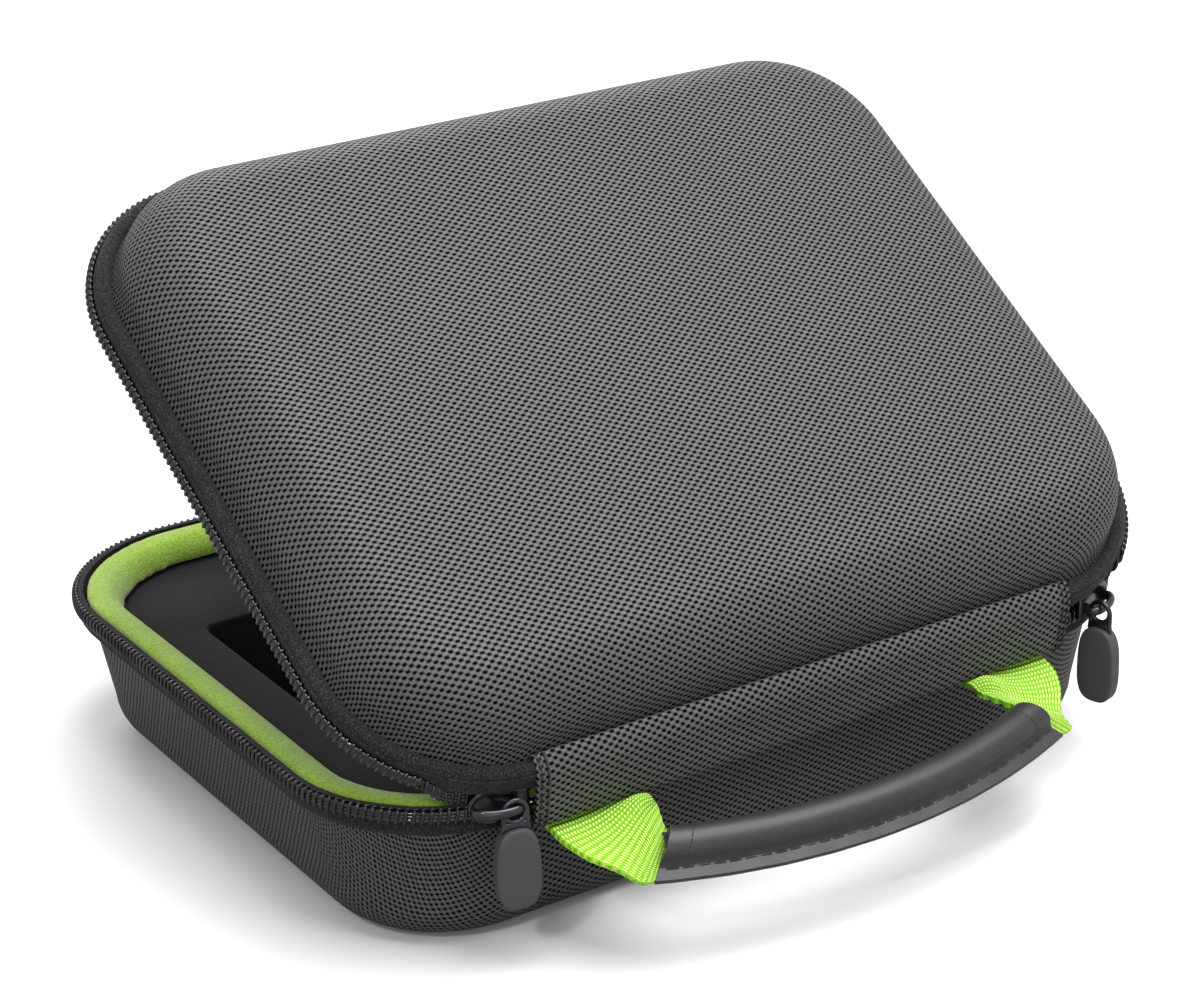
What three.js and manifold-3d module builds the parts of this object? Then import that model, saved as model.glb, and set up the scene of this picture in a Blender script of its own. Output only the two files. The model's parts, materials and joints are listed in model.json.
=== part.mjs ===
// A moulded hard-shell carrying case: a foam-filled base, a hinged lid, a coil zip with two sliders,
// a fabric hinge panel and a webbing handle. Millimetres, +Z up, resting on its underside.
// +X runs along the hinge, and -Y is the hinge and handle side, which is the front.
import * as THREE from "three";
import { mergeVertices } from "three/addons/utils/BufferGeometryUtils.js";
import Module from "manifold-3d";

// Driving dimensions. The rim line is the centre line of the zip coil, seen from above.
const rimLength = 232;
const rimDepth = 184;
const rimRadius = 39.5;
const baseHeight = 42; // underside to the plane where the two halves meet
const lidHeight = 26.6; // that plane to the top of the lid
const openAngle = 32; // how far the lid stands open, in degrees

// Shells: laminated foam walls. An inset is a distance in from the rim line.
const shellWall = 2.5;
const baseRimInset = 4.2;
const baseFootInset = 8.6;
const baseEdgeRadius = 12.2;
const lidRimInset = 5.4;
const lidWallInset = 7;
const lidEdgeRadius = 17;
const lidEdgeStart = 9.6; // above the meeting plane, where the lid's side starts to round over

// Zip: one coil, a stand-up tape and a rolled tape edge on each half.
const coilWidth = 2.2;
const coilHeight = 4.1;
const coilGap = 1; // between the two coils when the case is shut
const tapeThickness = 0.5;
const baseRollHeight = 3.4;
const lidRollHeight = 2.6;
const lidRollWidth = 4.8;
const lidCoilStartAngle = 36; // round the corner, past the parked slider

// Lining: a fleece roll inside each rim, and foam in the base.
const collarInset = 3.6;
const collarWidth = 9;
const foamDrop = 8.5; // of the foam's top, below the meeting plane
const pocketLength = 178;
const pocketDepth = 88;
const pocketRadius = 3;
const pocketFloor = 7;
const liningThickness = 1;
const lidCollarDepth = 8.2;

// Hinge: a nylon strip along the front, which the lid turns about.
const hingeLength = 151.8;
const hingeOut = 3.5; // hinge axis ahead of the rim line
const hingeDown = 4; // hinge axis below the meeting plane
const panelThickness = 1.2;
const panelDrop = 7.6; // of the panel's lower seam, below the meeting plane
const panelBulge = 5.4; // how far the middle of the panel stands out from its lower seam

// Zip sliders.
const plateThickness = 1.3;
const plateClearance = 0.4;
const sliderLength = 13;
const sliderPostThickness = 0.5;
const parkAngles = { left: 12, right: 20 }; // round each corner from the end of the hinge panel
const bridgeStandoff = 3.4;
const bridgeThickness = 1.7;
const bridgeSpan = 8.6;
const pullOffset = 2.5; // of the pull along the bridge, towards the hinge panel
const loopWire = 1.2;
const loopClearance = 0.4;
const loopHeight = 5.4;
const stemLength = 2.4;
const gripWidth = 10.6;
const gripLength = 20.6;
const gripThickness = 4;
const gripWall = 1.2;

// Handle.
const webWidth = 25.4;
const webThickness = 2.2;
const webSpacing = 120.2; // between the middles of the two sewn ends
const handleReach = 31.7; // hinge line to the middle of the grip
const handleDroop = 10; // below level, in degrees
const handleInset = 2.6; // hinge line of the handle, in from the rim line
const handleDrop = 9.1; // of the handle's hinge line, below the meeting plane
const sleeveRadius = 4.7;
const sleeveBore = 3.6;
const sleeveSpan = 107;
const sleeveCurve = 161;
const finWidth = 4;
const finThickness = 2;
const bandWidth = 6.2; // the webbing's width where it is folded into the sleeve

const gap = 0.3; // between pieces that touch
const arcSteps = 5; // an arc of the outline has twice as many sides
const degrees = Math.PI / 180;
const wasm = await Module();
wasm.setup();

// ---- solids -------------------------------------------------------------------------------

function solidOf(geometry) {
  const bare = geometry.clone();
  bare.deleteAttribute("normal");
  bare.deleteAttribute("uv");
  const merged = mergeVertices(bare, 1e-4);
  const mesh = new wasm.Mesh({
    numProp: 3,
    vertProperties: new Float32Array(merged.attributes.position.array),
    triVerts: new Uint32Array(merged.index.array),
  });
  return new wasm.Manifold(mesh);
}

function geometryOf(solid) {
  const mesh = solid.getMesh();
  const geometry = new THREE.BufferGeometry();
  geometry.setAttribute("position", new THREE.BufferAttribute(mesh.vertProperties, 3));
  geometry.setIndex(new THREE.BufferAttribute(mesh.triVerts, 1));
  geometry.computeVertexNormals();
  return geometry;
}

const material = (color, roughness, metalness = 0) =>
  new THREE.MeshStandardMaterial({ color, roughness, metalness });

const nylon = () => material(0x4a4a4c, 0.75);
const tapeCloth = () => material(0x39393b, 0.9);
const coilNylon = () => material(0x17171a, 0.3);
const fleece = () => material(0xa0c350, 1);
const foam = () => material(0x2d2d2f, 0.95);
const liningCloth = () => material(0x303033, 0.9);
const webbing = () => material(0x9be22a, 0.8);
const leatherette = () => material(0x4b4b4e, 0.5);
const slideMetal = () => material(0x3a3a3d, 0.35, 0.8);
const gripRubber = () => material(0x48484b, 0.7);

function addMesh(parent, name, solid, look) {
  const mesh = new THREE.Mesh(geometryOf(solid), look);
  mesh.name = name;
  parent.add(mesh);
}

// A box from its low corner to its high corner.
function box(low, high) {
  const size = high.map((v, i) => v - low[i]);
  const geometry = new THREE.BoxGeometry(...size);
  geometry.translate(...low.map((v, i) => v + size[i] / 2));
  return solidOf(geometry);
}

// A rounded rectangle about the origin, with round corners of the given radius.
function roundedRectangle(length, depth, radius) {
  const x = length / 2 - radius;
  const y = depth / 2 - radius;
  const shape = new THREE.Shape();
  shape.moveTo(x + radius, -y);
  shape.absarc(x, y, radius, 0, Math.PI / 2, false);
  shape.absarc(-x, y, radius, Math.PI / 2, Math.PI, false);
  shape.absarc(-x, -y, radius, Math.PI, Math.PI * 1.5, false);
  shape.absarc(x, -y, radius, Math.PI * 1.5, Math.PI * 2, false);
  return shape;
}

// The rim outline stacked in layers. Each layer is [inset, height], from the lowest up.
function stack(layers) {
  const steps = layers.length - 1;
  const outline = roundedRectangle(rimLength, rimDepth, rimRadius);
  const options = { depth: steps, steps, bevelEnabled: false, curveSegments: arcSteps };
  const geometry = new THREE.ExtrudeGeometry(outline, options);
  const points = geometry.attributes.position;
  const straightX = rimLength / 2 - rimRadius;
  const straightY = rimDepth / 2 - rimRadius;
  for (let i = 0; i < points.count; i += 1) {
    const [inset, height] = layers[Math.round(points.getZ(i))];
    const cornerX = THREE.MathUtils.clamp(points.getX(i), -straightX, straightX);
    const cornerY = THREE.MathUtils.clamp(points.getY(i), -straightY, straightY);
    const scale = (rimRadius - inset) / rimRadius;
    points.setXYZ(
      i,
      cornerX + (points.getX(i) - cornerX) * scale,
      cornerY + (points.getY(i) - cornerY) * scale,
      height,
    );
  }
  return solidOf(geometry);
}

// Layers along a quarter ellipse, from one [inset, height] to another. The first leaves upright.
function quarterRound(from, to, steps, startUpright = true) {
  return Array.from({ length: steps + 1 }, (_, i) => {
    const angle = (i / steps) * (Math.PI / 2);
    const across = startUpright ? 1 - Math.cos(angle) : Math.sin(angle);
    const up = startUpright ? Math.sin(angle) : 1 - Math.cos(angle);
    return [from[0] + (to[0] - from[0]) * across, from[1] + (to[1] - from[1]) * up];
  });
}

// A ring round the rim: the outer layers less the inner ones.
const ring = (outer, inner) => stack(outer).subtract(stack(inner));

// Everything in front of the side corners and within the given distance of the middle.
function frontBlock(halfLength) {
  const y = rimDepth / 2;
  return box([-halfLength, -y * 2, -1], [halfLength, -y + rimRadius, baseHeight + lidHeight + 1]);
}

const cornerX = rimLength / 2 - rimRadius;
const cornerY = -(rimDepth / 2 - rimRadius);
const seam = baseHeight;
const panelFoot = seam - panelDrop;
const handleHeight = seam - handleDrop;
const foamTop = seam - foamDrop;
const halfHinge = hingeLength / 2;
const coilHalf = coilWidth / 2;
const coilFoot = seam - coilGap / 2 - coilHeight;
const tapeInset = coilHalf + gap;
const plateFoot = coilFoot - 0.1;

// ---- base ---------------------------------------------------------------------------------

const baseShellTop = coilFoot - gap - 0.1;
const baseWall = [
  ...quarterRound([baseFootInset + baseEdgeRadius, 0], [baseFootInset, baseEdgeRadius], 5, false),
  [baseRimInset, baseShellTop],
];
const baseSlope = (baseFootInset - baseRimInset) / (baseShellTop - baseEdgeRadius);
const baseInsetAt = (height) => baseRimInset + baseSlope * (baseShellTop - height);

// The inside of the base's shell, grown inwards by a clearance, from its floor to a height.
function baseInside(clearance, top) {
  const by = shellWall + clearance;
  const radius = baseEdgeRadius - by;
  return [
    ...quarterRound([baseFootInset + baseEdgeRadius, by], [baseFootInset + by, by + radius], 5, false),
    [baseInsetAt(top) + by, top],
  ];
}

function baseShell() {
  return stack(baseWall).subtract(stack(baseInside(0, baseShellTop + 1)));
}

function baseTape() {
  const foot = coilFoot - 0.4 - baseRollHeight;
  const top = foot + baseRollHeight;
  const belly = 0.2;
  const outer = [
    [belly + 1.2, foot],
    [belly + 0.3, foot + 0.6],
    [belly, foot + 1.4],
    [belly, top - 0.6],
    [belly + 0.5, top],
  ];
  const inner = [
    [baseRimInset - gap + baseSlope * (top - foot), foot - 1],
    [baseRimInset - gap, top + 1],
  ];
  const roll = ring(outer, inner);
  const fin = ring(
    [[tapeInset, top - 0.8], [tapeInset, seam - coilGap / 2 - 0.4]],
    [[tapeInset + tapeThickness, top - 1.8], [tapeInset + tapeThickness, seam + 1]],
  );
  return roll.add(fin).subtract(frontBlock(halfHinge + gap));
}

// The coil's band: a rounded bar that stands on edge along the rim line.
function coilBand(foot) {
  const edge = 0.7;
  const top = foot + coilHeight;
  const outer = [
    [-coilHalf + edge, foot],
    [-coilHalf, foot + edge],
    [-coilHalf, top - edge],
    [-coilHalf + edge, top],
  ];
  const inner = [
    [coilHalf, foot - 1],
    [coilHalf, top + 1],
  ];
  return ring(outer, inner);
}

function baseCollar() {
  const rimInner = baseRimInset + shellWall + gap;
  const ledge = baseShellTop + gap;
  const top = seam - gap;
  const wallInset = baseInsetAt(foamTop) + shellWall + gap;
  const outer = [
    [wallInset, foamTop + gap],
    [rimInner, ledge],
    [collarInset, ledge + 0.01],
    [collarInset, top - 1],
    [collarInset + 0.9, top],
  ];
  const inner = [
    [collarInset + collarWidth, foamTop - 1],
    ...quarterRound([collarInset + collarWidth, foamTop + 1], [collarInset + 1.6, top + 0.01], 6),
    [collarInset + 1.5, top + 1],
  ];
  return ring(outer, inner);
}

function foamInsert() {
  const floor = shellWall + gap;
  const block = stack([...baseInside(gap, foamTop - 0.01), [baseInsetAt(foamTop) + shellWall + gap, foamTop]]);
  const outline = roundedRectangle(pocketLength, pocketDepth, pocketRadius);
  const options = { depth: foamTop - floor + 2, bevelEnabled: false, curveSegments: 4 };
  const pocket = new THREE.ExtrudeGeometry(outline, options);
  pocket.translate(0, 0, floor - 1);
  return block.subtract(solidOf(pocket));
}

function pocketPad() {
  const floor = shellWall + gap;
  const outline = roundedRectangle(
    pocketLength - 2 * gap,
    pocketDepth - 2 * gap,
    pocketRadius - gap,
  );
  const options = { depth: pocketFloor - floor, bevelEnabled: false, curveSegments: 4 };
  const pad = new THREE.ExtrudeGeometry(outline, options);
  pad.translate(0, 0, floor);
  return solidOf(pad);
}

// ---- lid, modelled shut -------------------------------------------------------------------

const lidCoilFoot = seam + coilGap / 2;
const lidRollFoot = lidCoilFoot + coilHeight + gap;
const lidTop = seam + lidHeight;

// The lid's outer side from its rim to its top, moved inwards by a distance.
function lidSide(inwards) {
  const start = seam + lidEdgeStart;
  const radius = lidEdgeRadius - inwards;
  const rise = lidTop - inwards - start;
  return [
    [lidRimInset + inwards, lidRollFoot],
    [lidWallInset + inwards, start],
    ...quarterRound(
      [lidWallInset + inwards, start],
      [lidWallInset + inwards + radius, start + rise],
      7,
    ).slice(1),
  ];
}

function lidShell() {
  const inner = lidSide(shellWall);
  inner[0][1] -= 1;
  return stack(lidSide(0)).subtract(stack(inner));
}

function lidTape() {
  const top = lidRollFoot + lidRollHeight;
  const middle = lidRollWidth / 2;
  const outer = [
    [0.6, lidRollFoot],
    [0.2, lidRollFoot + 0.7],
    [0.4, lidRollFoot + 1.6],
    [middle - 0.9, top - 0.2],
    [middle, top],
  ];
  const slope = (lidWallInset - lidRimInset) / (seam + lidEdgeStart - lidRollFoot);
  const wallAt = (height) => lidRimInset + slope * (height - lidRollFoot) - gap * 1.5;
  const inner = [
    [wallAt(lidRollFoot), lidRollFoot - 1],
    [wallAt(top - 0.9), top - 0.9],
    [middle + 0.7, top - 0.15],
    [middle + 0.1, top + 0.3],
  ];
  const roll = ring(outer, inner).subtract(frontBlock(halfHinge + gap));
  const fin = ring(
    [[tapeInset, lidCoilFoot + 0.4], [tapeInset, lidRollFoot + 0.8]],
    [[tapeInset + tapeThickness, lidCoilFoot - 1], [tapeInset + tapeThickness, lidRollFoot + 1.8]],
  );
  return roll.add(fin.subtract(frontBlock(lidCoilStart)));
}

const lidCoilStart = cornerX + rimRadius * Math.sin(lidCoilStartAngle * degrees);

function lidCollar() {
  const foot = seam + gap;
  const ledge = lidRollFoot - gap;
  const rimInner = lidRimInset + shellWall + gap + 0.3;
  const top = seam + lidCollarDepth;
  const outer = [
    [collarInset + 0.9, foot],
    [collarInset, foot + 1],
    [collarInset, ledge - 0.01],
    [rimInner, ledge],
    [rimInner + 0.8, top],
  ];
  const inner = [
    [collarInset + 1.5, foot - 1],
    ...quarterRound([collarInset + 1.6, foot - 0.01], [collarInset + collarWidth, top - 1], 6, false),
    [collarInset + collarWidth, top + 1],
  ];
  return ring(outer, inner);
}

function lidLining() {
  const foot = seam + lidCollarDepth + gap;
  const side = lidSide(shellWall + gap).slice(1);
  const outside = [[lidWallInset + shellWall + gap, foot], ...side];
  const within = lidSide(shellWall + gap + liningThickness).slice(1);
  const inside = [[lidWallInset + shellWall + gap + liningThickness, foot - 1], ...within];
  return stack(outside).subtract(stack(inside));
}

// ---- hinge --------------------------------------------------------------------------------

const rimFront = -rimDepth / 2;
const hingeY = rimFront - hingeOut;
const hingeZ = seam - hingeDown;

// Where a point of the shut lid lies with the lid standing open.
function opened(y, z) {
  const c = Math.cos(openAngle * degrees);
  const s = Math.sin(openAngle * degrees);
  return new THREE.Vector2(
    hingeY + (y - hingeY) * c - (z - hingeZ) * s,
    hingeZ + (y - hingeY) * s + (z - hingeZ) * c,
  );
}

// A strip along the hinge: its section is a bent line given a thickness, in y and z.
function bentStrip(points, thickness, length, steps) {
  const curve = new THREE.CatmullRomCurve3(points.map((p) => new THREE.Vector3(0, p.x, p.y)));
  const middle = curve.getPoints(steps);
  const side = (sign) =>
    middle.map((point, i) => {
      const before = middle[Math.max(i - 1, 0)];
      const after = middle[Math.min(i + 1, steps)];
      const along = after.clone().sub(before).normalize();
      const out = (sign * thickness) / 2;
      return new THREE.Vector2(point.y - along.z * out, point.z + along.y * out);
    });
  const shape = new THREE.Shape([...side(1), ...side(-1).reverse()]);
  const strip = new THREE.ExtrudeGeometry(shape, { depth: length, bevelEnabled: false });
  // The section's two axes become y and z, and its depth becomes x.
  strip.applyMatrix4(new THREE.Matrix4().set(0, 0, 1, -length / 2, 1, 0, 0, 0, 0, 1, 0, 0, 0, 0, 0, 1));
  return solidOf(strip);
}

const panelFootY = rimFront + baseInsetAt(panelFoot) - gap - panelThickness / 2 - webThickness - 2 * gap;

function hingePanel() {
  const lidSeamInset = lidRimInset - gap - panelThickness / 2;
  const lidSeam = opened(rimFront + lidSeamInset, lidRollFoot + lidRollHeight);
  const middleZ = (panelFoot + lidSeam.y) / 2;
  const outY = panelFootY - panelBulge;
  const points = [
    new THREE.Vector2(panelFootY, panelFoot),
    new THREE.Vector2(panelFootY - panelBulge * 0.62, panelFoot + (middleZ - panelFoot) * 0.42),
    new THREE.Vector2(outY, middleZ),
    new THREE.Vector2(outY - 0.4, middleZ + (lidSeam.y - middleZ) * 0.5),
    new THREE.Vector2(lidSeam.x, lidSeam.y),
  ];
  return bentStrip(points, panelThickness, hingeLength, 14);
}

// ---- handle, in a flat frame: x along the hinge, -y outwards, turned down by its droop ------

const sleeveHalfAngle = Math.asin(sleeveSpan / 2 / sleeveCurve);
const sleeveCentre = -handleReach + sleeveCurve;

// A point of the grip's centre line at an angle from the middle, moved outwards by a distance.
function gripPoint(angle, outwards = 0) {
  const radius = sleeveCurve + outwards;
  return new THREE.Vector2(radius * Math.sin(angle), sleeveCentre - radius * Math.cos(angle));
}

function gripCurve(halfAngle) {
  const points = [];
  const steps = 14;
  for (let i = 0; i <= steps; i += 1) {
    const p = gripPoint(-halfAngle + (2 * halfAngle * i) / steps);
    points.push(new THREE.Vector3(p.x, p.y, 0));
  }
  return new THREE.CatmullRomCurve3(points);
}

// Sweeps a section along the grip. In the section, x points down and y points to the case.
function sweepGrip(shape, halfAngle) {
  const options = { extrudePath: gripCurve(halfAngle), steps: 22, bevelEnabled: false, curveSegments: 5 };
  return solidOf(new THREE.ExtrudeGeometry(shape, options));
}

function handleSleeve() {
  const outer = new THREE.Shape();
  const half = Math.asin(finThickness / 2 / sleeveRadius);
  const start = -Math.PI / 2 + half;
  outer.moveTo(finThickness / 2, -sleeveRadius - finWidth);
  outer.lineTo(finThickness / 2, -sleeveRadius * Math.cos(half));
  outer.absarc(0, 0, sleeveRadius, start, start + 2 * Math.PI - 2 * half, false);
  outer.lineTo(-finThickness / 2, -sleeveRadius - finWidth);
  const bore = new THREE.Path();
  bore.absarc(0, 0, sleeveBore, 0, 2 * Math.PI, false);
  outer.holes.push(bore);
  return sweepGrip(outer, sleeveHalfAngle);
}

function handleCore() {
  const radius = sleeveBore - gap;
  const flat = webThickness / 2 + gap;
  const half = Math.acos(flat / radius);
  const section = new THREE.Shape();
  section.absarc(0, 0, radius, Math.PI - half, Math.PI + half, false);
  section.closePath();
  return sweepGrip(section, sleeveHalfAngle);
}

// One sewn end of the webbing, on the side given by sign, cut square to the sleeve's mouth.
function webEnd(sign) {
  const middle = webSpacing / 2;
  const outer = middle + webWidth / 2;
  const inner = middle - webWidth / 2;
  const past = (gap * 2 + 0.3) / sleeveCurve;
  const mouthIn = gripPoint(sleeveHalfAngle + past, -sleeveRadius - 0.6);
  const mouthOut = gripPoint(sleeveHalfAngle + past, sleeveRadius + finWidth - 0.6);
  const shape = new THREE.Shape();
  shape.moveTo(inner, 0);
  shape.quadraticCurveTo(inner + 0.3, mouthIn.y * 0.6, mouthIn.x, mouthIn.y);
  shape.lineTo(mouthOut.x, mouthOut.y);
  shape.bezierCurveTo(outer - 6, mouthOut.y + 0.5, outer + 1.6, mouthOut.y * 0.72, outer, 0);
  shape.closePath();
  const options = { depth: webThickness, bevelEnabled: false, curveSegments: 8 };
  const end = new THREE.ExtrudeGeometry(shape, options);
  end.translate(0, 0, -webThickness / 2);
  const solid = solidOf(end);
  return sign > 0 ? solid : solid.mirror([1, 0, 0]);
}

function handleStrap() {
  const section = new THREE.Shape();
  section.moveTo(-webThickness / 2, -bandWidth / 2);
  section.lineTo(webThickness / 2, -bandWidth / 2);
  section.lineTo(webThickness / 2, bandWidth / 2);
  section.lineTo(-webThickness / 2, bandWidth / 2);
  section.closePath();
  const band = sweepGrip(section, sleeveHalfAngle + 2 / sleeveCurve);
  return band.add(webEnd(1)).add(webEnd(-1));
}

// The part of the webbing that is sewn down between the base and the hinge panel.
function strapTab(sign) {
  const middle = (sign * webSpacing) / 2;
  const foot = handleHeight + webThickness / 2 + gap;
  const rise = baseShellTop - foot;
  const shape = new THREE.Shape();
  const out = (height) => rimFront + baseInsetAt(height) - gap;
  shape.moveTo(out(foot), foot);
  shape.lineTo(out(foot + rise), foot + rise);
  shape.lineTo(out(foot + rise) - webThickness / 2, foot + rise);
  shape.lineTo(out(foot) - webThickness / 2, foot);
  shape.closePath();
  const tab = new THREE.ExtrudeGeometry(shape, { depth: webWidth, bevelEnabled: false });
  const x = middle - webWidth / 2;
  tab.applyMatrix4(new THREE.Matrix4().set(0, 0, 1, x, 1, 0, 0, 0, 0, 1, 0, 0, 0, 0, 0, 1));
  return solidOf(tab);
}

// ---- sliders, in a frame at the corner's centre: -y outwards, x along the zip ----------------

// A wall that follows the corner, between two insets and two heights, as long as the slider.
function cornerWall(insetOut, insetIn, foot, top, length = sliderLength) {
  const half = length / 2 / rimRadius;
  const from = -Math.PI / 2 - half;
  const to = -Math.PI / 2 + half;
  const shape = new THREE.Shape();
  shape.absarc(0, 0, rimRadius - insetOut, from, to, false);
  shape.absarc(0, 0, rimRadius - insetIn, to, from, true);
  shape.closePath();
  const wall = new THREE.ExtrudeGeometry(shape, { depth: top - foot, bevelEnabled: false, curveSegments: 6 });
  wall.translate(0, 0, foot);
  return solidOf(wall);
}

const plateTop = lidRollFoot - 0.3;
const outerPlateInset = -coilHalf - plateClearance;
const innerPlateInset = tapeInset + tapeThickness + plateClearance;
const barY = -(rimRadius - outerPlateInset + plateThickness + bridgeStandoff);

// The inner plate is thin, because the fleece roll is close behind it.
function sliderBody() {
  const outer = cornerWall(outerPlateInset - plateThickness, outerPlateInset, plateFoot, plateTop);
  const inner = cornerWall(innerPlateInset, collarInset - 0.3, plateFoot, plateTop);
  const middle = sliderPostThickness / 2;
  const reach = [outerPlateInset - 0.2, innerPlateInset + 0.2];
  const post = cornerWall(...reach, seam - middle, seam + middle, 4);
  const legs = [-1, 1].map((sign) => {
    const x = (sign * bridgeSpan) / 2;
    const half = bridgeThickness / 2;
    const low = [x - half, barY - half, seam - half];
    const high = [x + half, barY + bridgeStandoff + plateThickness / 2, seam + half];
    return box(low, high);
  });
  return outer.add(inner).add(post).add(legs[0]).add(legs[1]).add(bridgeBar());
}

function bridgeBar() {
  const half = bridgeThickness / 2;
  const reach = bridgeSpan / 2;
  return box([-reach, barY - half, seam - half], [reach, barY + half, seam + half]);
}

// The pull's frame has its origin in the middle of the bar, and hangs straight down from it.
const loopInner = (bridgeThickness / 2) * Math.SQRT2 + loopClearance;
const loopOuter = loopInner + loopWire;
const loopFoot = loopInner - loopHeight; // middle of the loop's lower bend, below the bar
const gripTop = loopFoot - loopOuter - stemLength;

// An upright loop round the bar, with a flat stem that runs down into the grip.
function pullLink() {
  const loop = new THREE.Shape();
  loop.absarc(0, 0, loopOuter, 0, Math.PI, false);
  loop.absarc(0, loopFoot, loopOuter, Math.PI, 2 * Math.PI, false);
  loop.closePath();
  const eye = new THREE.Path();
  eye.absarc(0, 0, loopInner, 0, Math.PI, false);
  eye.absarc(0, loopFoot, loopInner, Math.PI, 2 * Math.PI, false);
  eye.closePath();
  loop.holes.push(eye);
  const wire = new THREE.ExtrudeGeometry(loop, { depth: loopWire, bevelEnabled: false, curveSegments: 7 });
  wire.translate(0, 0, -loopWire / 2);
  wire.applyMatrix4(new THREE.Matrix4().set(0, 0, 1, 0, 1, 0, 0, 0, 0, 1, 0, 0, 0, 0, 0, 1));
  const stemFoot = gripTop - gripLength * 0.3;
  const stem = box(
    [-gripWidth * 0.2, -loopWire / 2, stemFoot],
    [gripWidth * 0.2, loopWire / 2, loopFoot - loopInner - loopWire * 0.4],
  );
  return solidOf(wire).add(stem);
}

// An oval rubber grip moulded over the link's stem.
function pullGrip() {
  const outline = new THREE.Shape();
  const half = gripWidth / 2;
  const round = half * 0.92;
  const foot = gripTop - gripLength;
  outline.moveTo(half - 0.5, gripTop - round);
  outline.absellipse(0, gripTop - round, half - 0.5, round, 0, Math.PI, false);
  outline.absellipse(0, foot + half, half, half, Math.PI, 2 * Math.PI, false);
  outline.closePath();
  const bevel = 1;
  const options = {
    depth: gripThickness - 2 * bevel,
    bevelSize: bevel,
    bevelOffset: -bevel,
    bevelThickness: bevel,
    bevelSegments: 2,
    curveSegments: 7,
  };
  const body = new THREE.ExtrudeGeometry(outline, options);
  body.translate(0, 0, -gripThickness / 2 + bevel);
  body.rotateX(Math.PI / 2);
  const slot = box(
    [-gripWidth * 0.2 - gap, -loopWire / 2 - gap, gripTop - gripLength * 0.3 - gap],
    [gripWidth * 0.2 + gap, loopWire / 2 + gap, gripTop + gripWall],
  );
  return solidOf(body).subtract(slot);
}

// ---- assembly -----------------------------------------------------------------------------

const part = new THREE.Group();

addMesh(part, "base_shell", baseShell(), nylon());
addMesh(part, "base_zip_tape", baseTape(), tapeCloth());
addMesh(part, "base_zip_coil", coilBand(coilFoot).subtract(frontBlock(halfHinge + gap)), coilNylon());
addMesh(part, "base_collar", baseCollar(), fleece());
addMesh(part, "foam_insert", foamInsert(), foam());
addMesh(part, "pocket_pad", pocketPad(), foam());
addMesh(part, "hinge_panel", hingePanel(), nylon());
addMesh(part, "strap_tab_left", strapTab(-1), webbing());
addMesh(part, "strap_tab_right", strapTab(1), webbing());

// The outer group carries the lid to its open place, and the inner one holds the shut lid.
const lidHinge = new THREE.Group();
lidHinge.position.set(0, hingeY, hingeZ);
lidHinge.rotation.x = openAngle * degrees;
const lid = new THREE.Group();
lid.position.set(0, -hingeY, -hingeZ);
lidHinge.add(lid);
part.add(lidHinge);
addMesh(lid, "lid_shell", lidShell(), nylon());
addMesh(lid, "lid_zip_tape", lidTape(), tapeCloth());
addMesh(lid, "lid_zip_coil", coilBand(lidCoilFoot).subtract(frontBlock(lidCoilStart)), coilNylon());
addMesh(lid, "lid_collar", lidCollar(), fleece());
addMesh(lid, "lid_lining", lidLining(), liningCloth());

const handle = new THREE.Group();
const handleY = rimFront + handleInset;
handle.position.set(0, handleY, handleHeight);
handle.rotation.x = handleDroop * degrees;
part.add(handle);
addMesh(handle, "handle_strap", handleStrap(), webbing());
addMesh(handle, "handle_core", handleCore(), foam());
addMesh(handle, "handle_sleeve", handleSleeve(), leatherette());

for (const [side, sign] of [["left", -1], ["right", 1]]) {
  const slider = new THREE.Group();
  slider.position.set(sign * cornerX, cornerY, 0);
  slider.rotation.z = sign * parkAngles[side] * degrees;
  part.add(slider);
  addMesh(slider, `slider_${side}`, sliderBody(), slideMetal());
  const pull = new THREE.Group();
  pull.position.set(-sign * pullOffset, barY, seam);
  slider.add(pull);
  addMesh(pull, `pull_link_${side}`, pullLink(), slideMetal());
  addMesh(pull, `pull_grip_${side}`, pullGrip(), gripRubber());
}

export default part;
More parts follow.
